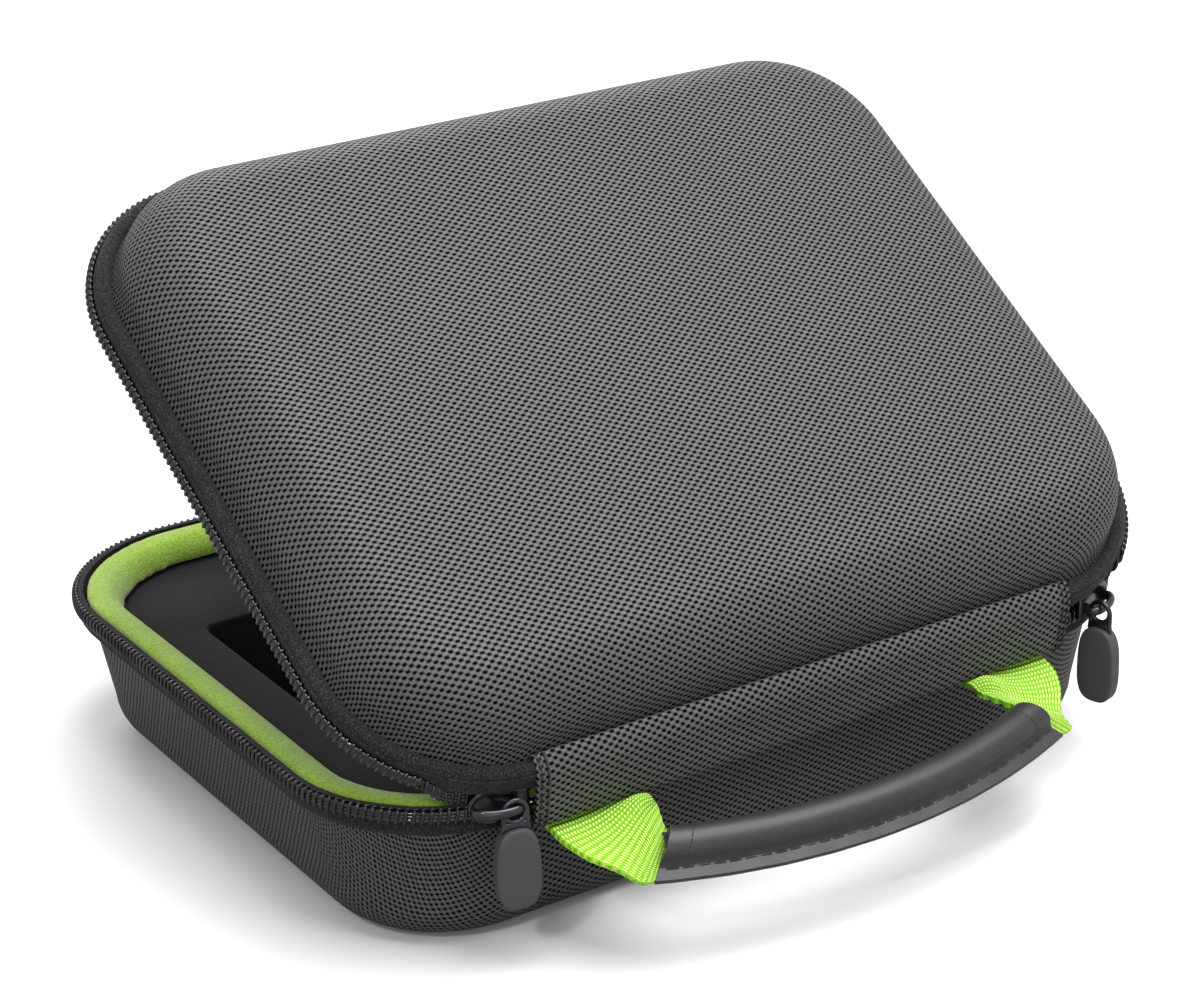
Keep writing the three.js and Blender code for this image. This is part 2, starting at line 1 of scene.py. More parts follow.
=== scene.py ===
import json
import math
import bpy
import bmesh
from mathutils import Matrix, Vector, noise
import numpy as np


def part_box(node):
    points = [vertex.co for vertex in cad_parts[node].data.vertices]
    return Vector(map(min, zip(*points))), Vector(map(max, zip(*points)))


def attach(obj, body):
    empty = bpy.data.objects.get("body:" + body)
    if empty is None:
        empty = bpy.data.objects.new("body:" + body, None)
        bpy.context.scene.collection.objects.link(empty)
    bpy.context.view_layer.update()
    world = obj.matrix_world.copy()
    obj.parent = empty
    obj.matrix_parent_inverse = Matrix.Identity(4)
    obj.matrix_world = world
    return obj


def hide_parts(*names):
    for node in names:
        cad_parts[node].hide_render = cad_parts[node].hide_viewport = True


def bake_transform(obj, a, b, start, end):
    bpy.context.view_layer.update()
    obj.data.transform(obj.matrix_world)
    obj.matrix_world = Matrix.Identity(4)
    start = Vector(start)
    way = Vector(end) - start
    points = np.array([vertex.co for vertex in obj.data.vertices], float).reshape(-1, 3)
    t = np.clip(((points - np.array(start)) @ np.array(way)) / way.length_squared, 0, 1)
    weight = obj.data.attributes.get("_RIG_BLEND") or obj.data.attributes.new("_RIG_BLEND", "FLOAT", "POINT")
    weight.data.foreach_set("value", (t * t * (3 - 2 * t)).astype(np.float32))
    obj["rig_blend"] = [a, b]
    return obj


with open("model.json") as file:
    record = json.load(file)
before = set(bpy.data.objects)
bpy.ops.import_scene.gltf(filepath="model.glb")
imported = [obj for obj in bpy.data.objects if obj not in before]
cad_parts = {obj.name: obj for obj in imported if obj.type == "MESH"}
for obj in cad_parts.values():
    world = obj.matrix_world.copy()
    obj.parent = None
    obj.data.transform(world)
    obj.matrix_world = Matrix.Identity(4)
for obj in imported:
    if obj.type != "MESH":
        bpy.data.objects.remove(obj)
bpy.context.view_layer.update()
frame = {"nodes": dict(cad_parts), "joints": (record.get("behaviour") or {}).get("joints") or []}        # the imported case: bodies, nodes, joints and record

mm = 0.001
noise.seed_set(11)  # unseeded, the ripple of the zip rolls follows the clock
scene = bpy.context.scene
joints = {joint["name"]: joint for joint in frame["joints"]}


def nodeBox(name):
    low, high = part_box(name)
    return low / mm, high / mm


# Sizes from the frame. The rim is the line that both coils follow.
coil = {"width": 2.2, "height": 4.1, "gap": 1.0, "pitch": 1.9, "wire": 0.5}
coilLow, coilHigh = nodeBox("base_zip_coil")
rim = {
    "halfX": coilHigh.x - coil["width"] / 2,
    "halfY": coilHigh.y - coil["width"] / 2,
    "radius": 39.5,
    "seam": coilHigh.z + coil["gap"] / 2,
    "panelHalf": nodeBox("hinge_panel")[1].x,
}
rim["sx"] = rim["halfX"] - rim["radius"]
rim["sy"] = rim["halfY"] - rim["radius"]
seam = rim["seam"]
lidHinge = joints["lid_hinge"]
hingeAt = Vector(lidHinge["pos_m"]) / mm
lidAngle = math.radians(-lidHinge["range_deg"][0])
lidOpen = Matrix.Translation(hingeAt) @ Matrix.Rotation(lidAngle, 4, "X") @ Matrix.Translation(-hingeAt)
stay = Matrix.Identity(4)


def linear(code):
    channels = [int(code[i : i + 2], 16) / 255 for i in (1, 3, 5)]
    turned = [c / 12.92 if c <= 0.04045 else ((c + 0.055) / 1.055) ** 2.4 for c in channels]
    return (*turned, 1)


def addNode(tree, kind, inputs=None, **settings):
    node = tree.nodes.new(kind)
    for name, value in settings.items():
        setattr(node, name, value)
    for key, value in (inputs or {}).items():
        if isinstance(value, bpy.types.NodeSocket):
            tree.links.new(value, node.inputs[key])
        else:
            node.inputs[key].default_value = value
    return node


def newMaterial(name):
    material = bpy.data.materials.new(name)
    material.use_nodes = True
    tree = material.node_tree
    shader = tree.nodes["Principled BSDF"]
    place = addNode(tree, "ShaderNodeTexCoord")
    return material, tree, shader, place


def rampOf(tree, value, stops):
    ramp = addNode(tree, "ShaderNodeValToRGB", {"Fac": value})
    points = ramp.color_ramp.elements
    while len(points) < len(stops):
        points.new(0.5)
    for point, (at, code) in zip(points, stops):
        point.position = at
        point.color = linear(code)
    return ramp.outputs["Color"]


def setShader(shader, **values):
    for name, value in values.items():
        shader.inputs[name.replace("_", " ")].default_value = value


# Basket-woven nylon, 1680 denier: fat matt lumps where a pair of yarns crosses over, and a short
# pit between them. Its colour follows the weave's height: painted shade, near black, in the pits,
# and painted highlight, lighter towards the tops of the lumps. The map is the cloth's own, in millimetres.
def wovenNylon(name, lumpToLitTop, pitShade, across=1.3, along=0.88, depth=0.34):
    material, tree, shader, place = newMaterial(name)
    wander = addNode(
        tree, "ShaderNodeTexNoise", {"Vector": place.outputs["UV"], "Scale": 0.35, "Detail": 2.0}
    )
    jitter = addNode(
        tree, "ShaderNodeVectorMath", {0: wander.outputs["Color"], "Scale": 0.35}, operation="SCALE"
    )
    moved = addNode(
        tree, "ShaderNodeVectorMath", {0: place.outputs["UV"], 1: jitter.outputs[0]}, operation="ADD"
    )
    parts = addNode(tree, "ShaderNodeSeparateXYZ", {0: moved.outputs[0]})
    waves = []
    for axis, pitch in (("X", across), ("Y", along)):
        turned = addNode(
            tree, "ShaderNodeMath", {0: parts.outputs[axis], 1: math.pi / pitch}, operation="MULTIPLY"
        )
        waves.append(addNode(tree, "ShaderNodeMath", {0: turned.outputs[0]}, operation="SINE"))
    checks = addNode(
        tree, "ShaderNodeMath", {0: waves[0].outputs[0], 1: waves[1].outputs[0]}, operation="MULTIPLY"
    )
    fibres = addNode(
        tree, "ShaderNodeTexNoise", {"Vector": place.outputs["UV"], "Scale": 3.0, "Detail": 3.0}
    )
    rough = addNode(tree, "ShaderNodeMath", {0: fibres.outputs["Fac"], 1: 0.5}, operation="SUBTRACT")
    frayed = addNode(
        tree,
        "ShaderNodeMath",
        {0: rough.outputs[0], 1: 0.7, 2: checks.outputs[0]},
        operation="MULTIPLY_ADD",
    )
    height = addNode(
        tree,
        "ShaderNodeMapRange",
        {"Value": frayed.outputs[0], "From Min": -0.78, "From Max": 0.3},
        interpolation_type="SMOOTHSTEP",
    )
    # Painted shade and highlight: near black at the weave's low places, lighter towards the lumps' tops.
    colour = rampOf(tree, height.outputs["Result"], [(0.06, pitShade), (0.34, lumpToLitTop[0]), (1.0, lumpToLitTop[1])])
    patches = addNode(
        tree, "ShaderNodeTexNoise", {"Vector": place.outputs["UV"], "Scale": 0.03, "Detail": 1.0}
    )
    shade = addNode(
        tree, "ShaderNodeMapRange", {"Value": patches.outputs["Fac"], "To Min": 0.9, "To Max": 1.1}
    )
    tinted = addNode(
        tree, "ShaderNodeVectorMath", {0: colour, "Scale": shade.outputs["Result"]}, operation="SCALE"
    )
    bump = addNode(
        tree,
        "ShaderNodeBump",
        {"Height": height.outputs["Result"], "Distance": depth * mm, "Strength": 1.0},
    )
    gloss = addNode(tree, "ShaderNodeMath", {0: height.outputs["Result"], 1: 0.35}, operation="MULTIPLY")
    tree.links.new(tinted.outputs[0], shader.inputs["Base Color"])
    tree.links.new(bump.outputs[0], shader.inputs["Normal"])
    tree.links.new(gloss.outputs[0], shader.inputs["Specular IOR Level"])
    setShader(shader, Roughness=0.5)
    return material


# A cloth, foam or skin whose surface is fine and even: two noises, one for its grain and one for
# its slow shading, both on the piece's own coordinates.
def grained(name, stops, grain, depth, roughness, sheen=0.0, slow=14.0, slowRange=0.16, **more):
    material, tree, shader, place = newMaterial(name)
    fine = addNode(
        tree, "ShaderNodeTexNoise", {
            "Vector": place.outputs["Object"], "Scale": 1 / (grain * mm), "Detail": 3.0
        }
    )
    colour = rampOf(tree, fine.outputs["Fac"], stops)
    wide = addNode(
        tree, "ShaderNodeTexNoise", {
            "Vector": place.outputs["Object"], "Scale": 1 / (slow * mm), "Detail": 2.0
        }
    )
    shade = addNode(
        tree,
        "ShaderNodeMapRange",
        {
            "Value": wide.outputs["Fac"],
            "From Min": 0.3,
            "From Max": 0.7,
            "To Min": 1 - slowRange,
            "To Max": 1 + slowRange,
        },
    )
    tinted = addNode(
        tree, "ShaderNodeVectorMath", {0: colour, "Scale": shade.outputs["Result"]}, operation="SCALE"
    )
    bump = addNode(
        tree, "ShaderNodeBump", {"Height": fine.outputs["Fac"], "Distance": depth * mm, "Strength": 1.0}
    )
    tree.links.new(tinted.outputs[0], shader.inputs["Base Color"])
    tree.links.new(bump.outputs[0], shader.inputs["Normal"])
    setShader(shader, Roughness=roughness, Sheen_Weight=sheen, **more)
    return material


# Polyester webbing: heavy ribs across the strap that are modelled, and a finer weave of dots along each rib,
# drawn here.
# Its colour follows that weave's height: painted shade, deep green, in the grooves and painted highlight,
# pale yellow, on the tops.
# The map runs along the strap, in millimetres.
def ribbedWebbing(name):
    material, tree, shader, place = newMaterial(name)
    parts = addNode(tree, "ShaderNodeSeparateXYZ", {0: place.outputs["UV"]})
    waves = []
    for axis, pitch in (("X", strap["rib"]), ("Y", strap["yarn"])):
        turned = addNode(
            tree, "ShaderNodeMath", {0: parts.outputs[axis], 1: math.pi / pitch}, operation="MULTIPLY"
        )
        wave = addNode(tree, "ShaderNodeMath", {0: turned.outputs[0]}, operation="SINE")
        waves.append(addNode(tree, "ShaderNodeMath", {0: wave.outputs[0]}, operation="ABSOLUTE"))
    dots = addNode(
        tree, "ShaderNodeMath", {0: waves[0].outputs[0], 1: waves[1].outputs[0]}, operation="MULTIPLY"
    )
    fibres = addNode(
        tree, "ShaderNodeTexNoise", {"Vector": place.outputs["UV"], "Scale": 2.2, "Detail": 3.0}
    )
    mixed = addNode(
        tree,
        "ShaderNodeMath",
        {0: fibres.outputs["Fac"], 1: 0.5, 2: dots.outputs[0]},
        operation="MULTIPLY_ADD",
    )
    # Painted shade and highlight: deep green at the weave's low places, pale yellow on its tops.
    colour = rampOf(
        tree, mixed.outputs[0], [(0.22, "#62A80C"), (0.45, "#8AD11C"), (0.75, "#A9DF38"), (1.0, "#E2F78A")]
    )
    bump = addNode(
        tree, "ShaderNodeBump", {"Height": mixed.outputs[0], "Distance": 0.4 * mm, "Strength": 1.0}
    )
    tree.links.new(colour, shader.inputs["Base Color"])
    tree.links.new(bump.outputs[0], shader.inputs["Normal"])
    setShader(shader, Roughness=0.6, IOR=1.5)
    return material


strap = {"rib": 1.75, "yarn": 0.9, "thickness": 1.3, "ridge": 0.26}

# Each material's last colour is the painted shade in its pits; each pair runs from a lump's tone up to its
# painted-lit top.
nylonWeave = wovenNylon("woven_nylon_moulded", ("#363637", "#505051"), "#080808")
nylonPanel = wovenNylon("woven_nylon_flat", ("#363637", "#545455"), "#070707", 1.3, 0.92, 0.4)
# Knitted tape with a brushed face: a salt-and-pepper grain and no gloss.
tapeFelt = grained(
    "brushed_zip_tape",
    [(0.38, "#050505"), (0.52, "#1B1B1C"), (0.66, "#3A3A3B")],
    0.36,
    0.25,
    0.85,
    0.05,
    Specular_IOR_Level=0.2,
)
# Nylon monofilament, wound and heat set: black, smooth and wet-looking.
coilNylon = grained(
    "nylon_monofilament", [(0.3, "#040404"), (0.7, "#0A0A0A")], 1.5, 0.01, 0.1, 0.0, 20.0, 0.1
)
# Brushed polyester fleece: soft nap, paler where it catches the light.
limeFleece = grained(
    "brushed_fleece_lime",
    [(0.3, "#86AB2C"), (0.5, "#9CC23F"), (0.7, "#B4D558")],
    0.6,
    0.4,
    0.95,
    0.4,
    9.0,
    0.08,
)
# Closed-cell foam with a flocked face: near black, a faint speckle.
foamBlack = grained(
    "flocked_foam", [(0.3, "#0E0E0F"), (0.7, "#1D1D1F")], 0.6, 0.12, 0.95, 0.1, Specular_IOR_Level=0.2
)
liningCloth = grained(
    "tricot_lining", [(0.3, "#101011"), (0.7, "#222224")], 0.5, 0.15, 0.9, 0.1, Specular_IOR_Level=0.2
)
# PVC leathercloth with a light pebble grain and a satin coat.
leatherette = grained(
    "satin_leathercloth",
    [(0.3, "#242425"), (0.7, "#2E2E30")],
    0.7,
    0.03,
    0.42,
    0.0,
    25.0,
    0.08,
    Specular_IOR_Level=0.4,
)
# Die-cast zinc in a dark lacquer.
gunmetal = grained(
    "lacquered_zinc", [(0.3, "#3A3A3D"), (0.7, "#444448")], 3.0, 0.01, 0.22, 0.0, 12.0, 0.08, Metallic=0.9
)
# Soft moulded rubber with a sparked, matt face.
gripRubber = grained(
    "moulded_rubber", [(0.3, "#343435"), (0.7, "#3E3E3F")], 0.35, 0.03, 0.62, 0.0, 12.0, 0.05
)
blackThread = grained("bonded_thread", [(0.3, "#070708"), (0.7, "#1A1A1B")], 0.3, 0.05, 0.7)
limeWebbing = ribbedWebbing("ribbed_webbing_lime")
print("materials made")


# Where a point of the plan lies on the rim: the nearest point of the inner rectangle.
def rimBase(co):
    return Vector((max(-rim["sx"], min(rim["sx"], co.x)), max(-rim["sy"], min(rim["sy"], co.y))))


def legsOf(start, end):
    sx, sy = rim["sx"], rim["sy"]
    return [
        (Vector((1, 0, 0)), sx - start, (sx, -sy)),
        (Vector((0, 1, 0)), 2 * sy, (sx, sy)),
        (Vector((-1, 0, 0)), 2 * sx, (-sx, sy)),
        (Vector((0, -1, 0)), 2 * sy, (-sx, -sy)),
        (Vector((1, 0, 0)), end + sx, None),
    ]


# Sweeps a section round the rim, anticlockwise from the front. Each point of the section is
# (inset, height), or (inset, height, reach), where reach is the cloth's length to that point.
def sweepRim(bm, points, start=0.0, end=0.0, closed=True, arcSteps=16, step=12.0):
    reach = bm.verts.layers.float.get("reach") or bm.verts.layers.float.new("reach")
    made = len(bm.verts)
    verts = []
    for point in points:
        vert = bm.verts.new((start, -rim["halfY"] + point[0], point[1]))
        vert[reach] = point[2] if len(point) > 2 else rim["radius"] - point[0]
        verts.append(vert)
    edges = [bm.edges.new(pair) for pair in zip(verts, verts[1:])]
    if closed:
        edges.append(bm.edges.new((verts[-1], verts[0])))
        if start != end:
            bm.faces.new(verts)
    for direction, length, corner in legsOf(start, end):
        count = max(1, round(length / step))
        for _ in range(count):
            grown = bmesh.ops.extrude_edge_only(bm, edges=edges)["geom"]
            edges = [g for g in grown if isinstance(g, bmesh.types.BMEdge)]
            moved = [g for g in grown if isinstance(g, bmesh.types.BMVert)]
            bmesh.ops.translate(bm, verts=moved, vec=direction * (length / count))
            edges = [e for e in edges if all(v in set(moved) for v in e.verts)]
        if corner:
            spun = spinUpright(bm, edges + moved, (*corner, 0), math.pi / 2, arcSteps)
            edges = [g for g in spun if isinstance(g, bmesh.types.BMEdge)]
    if start == end:
        bmesh.ops.remove_doubles(bm, verts=list(bm.verts)[made:], dist=1e-3)
    elif closed:
        bmesh.ops.contextual_create(bm, geom=edges)
    return bm


# Lays the cloth's own map on a swept shell: flat on the straights and drawn round the corners.
def mapCloth(bm, turn=0.0):
    reach = bm.verts.layers.float["reach"]
    laid = bm.loops.layers.uv.new("cloth")
    for face in bm.faces:
        for loop in face.loops:
            base = rimBase(loop.vert.co)
            out = loop.vert.co.xy - base
            if out.length > 1e-6:
                base = base + out.normalized() * loop.vert[reach]
            loop[laid].uv = Matrix.Rotation(turn, 2) @ base


# Spins an open or closed section about an upright axis, and gives the last one made.
def spinUpright(bm, geom, centre, angle, steps):
    return bmesh.ops.spin(
        bm,
        geom=geom,
        cent=centre,
        axis=(0, 0, 1),
        dvec=(0, 0, 0),
        angle=angle,
        steps=steps,
        use_merge=False,
        use_normal_flip=False,
        use_duplicate=False,
    )["geom_last"]


# A share from 0 to 1, eased at both ends.
def eased(share):
    share = max(0.0, min(1.0, share))
    return share * share * (3 - 2 * share)


def fillHoles(bm):
    bmesh.ops.holes_fill(bm, edges=[e for e in bm.edges if e.is_boundary], sides=0)


def turnOut(bm):
    bmesh.ops.recalc_face_normals(bm, faces=list(bm.faces))


# Ends a piece: places it, scales it to metres, smooths it and hands it to its body.
def makePiece(name, bm, body, stands, material, place=stay, sharp=38.0, ride=True):
    bm.transform(Matrix.Scale(mm, 4) @ place)
    for face in bm.faces:
        face.smooth = True
    for edge in bm.edges:
        if len(edge.link_faces) == 2 and edge.calc_face_angle(0) > math.radians(sharp):
            edge.smooth = False
    mesh = bpy.data.meshes.new(name)
    bm.to_mesh(mesh)
    bm.free()
    piece = bpy.data.objects.new(name, mesh)
    scene.collection.objects.link(piece)
    mesh.materials.append(material)
    if ride:
        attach(piece, body)
    if stands:
        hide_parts(*stands)
    return piece


# A round or flattened rod along a list of points, made as a curve and turned into a mesh.
def rodMesh(bm, points, radius, sides=2, flatten=None, closed=False, smooth=True, radii=None):
    curve = bpy.data.curves.new("rod", "CURVE")
    curve.dimensions = "3D"
    curve.bevel_depth = radius
    curve.bevel_resolution = sides
    curve.use_fill_caps = True
    line = curve.splines.new("POLY" if not smooth else "NURBS")
    line.points.add(len(points) - 1)
    for spot, point in zip(line.points, points):
        spot.co = (*point, 1)
    for spot, size in zip(line.points, radii or []):
        spot.radius = size
    line.use_cyclic_u = closed
    if smooth:
        line.order_u = 4
        line.use_endpoint_u = not closed
        line.resolution_u = 4
    holder = bpy.data.objects.new("rod", curve)
    scene.collection.objects.link(holder)
    mesh = bpy.data.meshes.new_from_object(holder)
    bpy.data.objects.remove(holder)
    if flatten:
        mesh.transform(flatten)
    bm.from_mesh(mesh)
    bpy.data.meshes.remove(mesh)


# Points along a quarter circle in (inset, height), with the cloth's length to each.
def arcPoints(start, end, steps, upright):
    found = []
    for i in range(1, steps + 1):
        angle = i / steps * math.pi / 2
        across = 1 - math.cos(angle) if upright else math.sin(angle)
        up = math.sin(angle) if upright else 1 - math.cos(angle)
        found.append((start[0] + (end[0] - start[0]) * across, start[1] + (end[1] - start[1]) * up))
    return found


# Adds each point's reach: flat cloth first, then the length along the section.
def withReach(points):
    length = rim["radius"] - points[0][0]
    found = [(*points[0], length)]
    for before, after in zip(points, points[1:]):
        length += math.dist(before, after)
        found.append((*after, length))
    return found


# The two moulded shells.
baseForm = {"rimInset": 3.1, "footInset": 7.6, "edge": 12.2, "wall": 2.5, "top": nodeBox("base_shell")[1].z}
lidForm = {
    "rimInset": 4.2,
    "wallInset": 5.8,
    "edge": 17.0,
    "edgeStart": 9.6,
    "height": 26.6,
    "wall": 2.5,
    "rim": 4.9,
}
middleInset = rim["radius"] - 2.0


def baseShell():
    form = baseForm
    foot = (form["footInset"] + form["edge"], 0.0)
    outer = [(middleInset, 0.0), foot] + arcPoints(foot, (form["footInset"], form["edge"]), 8, False)
    outer += [(form["rimInset"] + 0.15, form["top"] - 0.7), (form["rimInset"] + 0.6, form["top"])]
    wall = form["wall"]
    low = (form["footInset"] + form["edge"], wall)
    inner = [(middleInset, wall), low]
    inner += arcPoints(low, (form["footInset"] + wall, form["edge"]), 6, False)
    inner += [(form["rimInset"] + wall, form["top"])]
    bm = bmesh.new()
    sweepRim(bm, withReach(outer + inner[::-1]), closed=False, arcSteps=20)
    fillHoles(bm)
    turnOut(bm)
    mapCloth(bm)
    return makePiece("base_shell_skin", bm, "base", ["base_shell"], nylonWeave)


def lidShell():
    form = lidForm
    top = seam + form["height"]
    start = seam + form["edgeStart"]
    low = seam + form["rim"]
    crown = (form["wallInset"] + form["edge"], top)
    side = [
        (form["rimInset"], low), (form["wallInset"] - 0.2, start - 1.2), (form["wallInset"] + 0.05, start)
    ]
    side += arcPoints((form["wallInset"], start), crown, 12, True)
    outer = side + [(crown[0] + 6, top + 0.25), (middleInset, top + 0.4)]
    wall = form["wall"]
    within = [(form["rimInset"] + wall, low), (form["wallInset"] + wall, start)]
    within += arcPoints((form["wallInset"] + wall, start), (crown[0], top - wall), 8, True)
    within += [(middleInset, top - wall)]
    bm = bmesh.new()
    sweepRim(bm, withReach(outer[::-1] + within), closed=False, arcSteps=22)
    fillHoles(bm)
    turnOut(bm)
    mapCloth(bm)
    return makePiece("lid_shell_skin", bm, "lid", ["lid_shell"], nylonWeave, lidOpen)


baseSkin = baseShell()
lidSkin = lidShell()
print("shells made")

# The zip: its rolls, tapes and coils, and the short leads that climb from each slider.
lidRollFoot = seam + 4.85
leadStart = {1: math.radians(30.5), -1: math.radians(22.5)}  # where the upper coil leaves each slider
leadEnd = math.radians(40)


def ovalPoints(centre, halfWidth, halfHeight, count=14, square=2.5):
    found = []
    for i in range(count):
        angle = 2 * math.pi * i / count
        c, s = math.cos(angle), math.sin(angle)
        x = halfWidth * math.copysign(abs(c) ** (2 / square), c)
        y = halfHeight * math.copysign(abs(s) ** (2 / square), s)
        found.append((centre[0] + x, centre[1] + y))
    return found


# A brushed roll that hides the shell's edge, and the thin tape that stands behind the coil.
def zipTape(name, body, node, section, fin, place, finStart):
    bm = bmesh.new()
    half = rim["sx"] - 0.05
    sweepRim(bm, section, half, -half, arcSteps=20, step=4.0)
    thin = [(0.6, fin[0]), (0.6, fin[1]), (1.9, fin[1]), (1.9, fin[0])]
    sweepRim(bm, thin, finStart, -finStart, arcSteps=20)
    ripple(bm, 0.12, 3.0)
    turnOut(bm)
    return makePiece(name, bm, body, [node], tapeFelt, place)


def ripple(bm, size, scale, seed=0.0):
    for vert in bm.verts:
        vert.co += noise.noise_vector(vert.co / scale + Vector((seed, 0, 0))) * size


lidRollShape = [(1.2, -0.3), (0.95, 0.4), (1.0, 1.2), (1.35, 1.9), (2.0, 2.4)]
lidRollShape += [(2.9, 2.5), (3.8, 2.2), (4.5, 1.6), (4.7, 0.8), (4.2, -0.3)]
lidSection = [(inset, lidRollFoot + up) for inset, up in lidRollShape]
baseRoll = zipTape(
    "base_zip_edge",
    "base",
    "base_zip_tape",
    ovalPoints((2.6, 35.4), 1.9, 1.7),
    (35.5, 41.2),
    stay,
    rim["panelHalf"] + 0.1,
)
lidRoll = zipTape(
    "lid_zip_edge", "lid", "lid_zip_tape", lidSection, (seam + 0.9, seam + 5.6), lidOpen, rim["sx"] - 1
)


# A place on the rim at a length from the middle of the front: its point and its outward way.
def rimAt(length, inset=0.0):
    start = Vector((0, -rim["sy"]))
    arc = rim["radius"] * math.pi / 2
    for direction, run, corner in legsOf(0.0, 0.0):
        out = Vector((direction.y, -direction.x))
        if length <= run:
            return start + direction.xy * length + out * (rim["radius"] - inset), out
        length -= run
        if corner and length <= arc:
            out = Matrix.Rotation(length / rim["radius"], 2) @ out
            return Vector(corner) + out * (rim["radius"] - inset), out
        length -= arc
        start = Vector(corner)


rimLength = 4 * rim["sx"] + 4 * rim["sy"] + 2 * math.pi * rim["radius"]
turnSides = 12


# One monofilament wound along the rim, from one length to another, round a flat upright form.
def coilPoints(begin, finish, middle, drop=None):
    turns = round((finish - begin) / coil["pitch"])
    reachOut = coil["width"] / 2 - coil["wire"]
    reachUp = coil["height"] / 2 - coil["wire"]
    found = []
    for i in range(turns * turnSides + 1):
        angle = 2 * math.pi * i / turnSides
        length = begin + (finish - begin) * i / (turns * turnSides)
        c, s = math.cos(angle), math.sin(angle)
        across = reachOut * math.copysign(abs(c) ** 0.8, c)
        up = reachUp * math.copysign(abs(s) ** 0.8, s)
        spot, out = rimAt(length)
        centre = Vector((*spot, middle))
        if drop:
            centre = drop(centre, length)
        found.append(centre + Vector((*(out * across), 0)) + Vector((0, 0, up)))
    return found


# The cord that fills the coil, which the tape is sewn through.
def coilCore(bm, begin, finish, middle, drop=None):
    points = []
    count = max(8, round((finish - begin) / 3))
    for i in range(count + 1):
        length = begin + (finish - begin) * i / count
        spot, _ = rimAt(length)
        centre = Vector((*spot, middle))
        points.append(drop(centre, length) if drop else centre)
    for shift in (-0.85, 0.0, 0.85):
        rodMesh(bm, [p + Vector((0, 0, shift)) for p in points], 0.62, 1, smooth=False)


def coilPiece(name, body, node, begin, finish, middle, place=stay, drop=None, ride=True):
    bm = bmesh.new()
    rodMesh(bm, coilPoints(begin, finish, middle, drop), coil["wire"], 1, smooth=False)
    coilCore(bm, begin, finish, middle, drop=drop)
    return makePiece(name, bm, body, node, coilNylon, place, 80.0, ride)


cornerFrom = rim["sx"]
baseMiddle = (coilLow.z + coilHigh.z) / 2
lidMiddle = seam + coil["gap"] / 2 + coil["height"] / 2
panelEnd = rim["panelHalf"] + 0.6
baseCoil = coilPiece("base_coil", "base", ["base_zip_coil"], panelEnd, rimLength - panelEnd, baseMiddle)
lidFrom = cornerFrom + leadEnd * rim["radius"]
lidCoil = coilPiece("lid_coil", "lid", ["lid_zip_coil"], lidFrom, rimLength - lidFrom, lidMiddle, lidOpen)


# A lead's start as a length along the rim, and the points of the rim where it starts and ends.
def leadSpots(side):
    first = cornerFrom + leadStart[side] * rim["radius"]
    low, high = (rimAt(run if side > 0 else rimLength - run)[0] for run in (first, lidFrom))
    return first, low, high


# Between the slider and the open lid the upper coil climbs from the lower one to the lid.
def coilLead(name, side):
    first, low, high = leadSpots(side)

    def climb(centre, length):
        run = length if side > 0 else rimLength - length
        shut = Vector((centre.x, centre.y, lidMiddle - 0.45))
        return shut.lerp(lidOpen @ centre, eased((run - first) / (lidFrom - first)))

    begin, finish = (panelEnd, lidFrom) if side > 0 else (rimLength - lidFrom, rimLength - panelEnd)
    lead = coilPiece(name, "base", [], begin, finish, lidMiddle, drop=climb, ride=False)
    start = Vector((*low, lidMiddle)) * mm
    end = lidOpen @ Vector((*high, lidMiddle)) * mm
    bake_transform(lead, "base", "lid", start=start, end=end)
    return lead


leads = [coilLead("coil_lead_right", 1), coilLead("coil_lead_left", -1)]


# The tape between the lid's roll and the coil that the slider holds down.
def tapeWeb(name, side):
    first, low, high = leadSpots(side)
    bm = bmesh.new()
    grid = bmesh.ops.create_grid(bm, x_segments=24, y_segments=4, size=0.5)["verts"]
    for vert in grid:
        along, up = vert.co.x + 0.5, vert.co.y + 0.5
        run = panelEnd - 1 + (lidFrom + 3 - panelEnd) * along
        spot, _ = rimAt(run if side > 0 else rimLength - run, 1.7)
        foot = Vector((*spot, lidMiddle - 1.2))
        lifted = lidOpen @ Vector((*spot, lidMiddle - 1.0))
        head = lidOpen @ Vector((*spot, seam + 5.4))
        vert.co = foot.lerp(lifted, eased((run - first) / (lidFrom - first))).lerp(head, up)
    turnOut(bm)
    bmesh.ops.solidify(bm, geom=list(bm.faces), thickness=0.5)
    web = makePiece(name, bm, "base", [], tapeFelt, ride=False)
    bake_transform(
        web,
        "base",
        "lid",
        start=Vector((*low, lidMiddle)) * mm,
        end=lidOpen @ Vector((*high, lidMiddle + 4)) * mm,
    )
    return web


webs = [tapeWeb("tape_web_right", 1), tapeWeb("tape_web_left", -1)]
print("zip made")


# Stuffed cloth: its voxels in millimetres, and the simulation's own settings.
swell = {"voxel": 1.5, "pressure": 4.0, "quality": 4, "frames": 20}


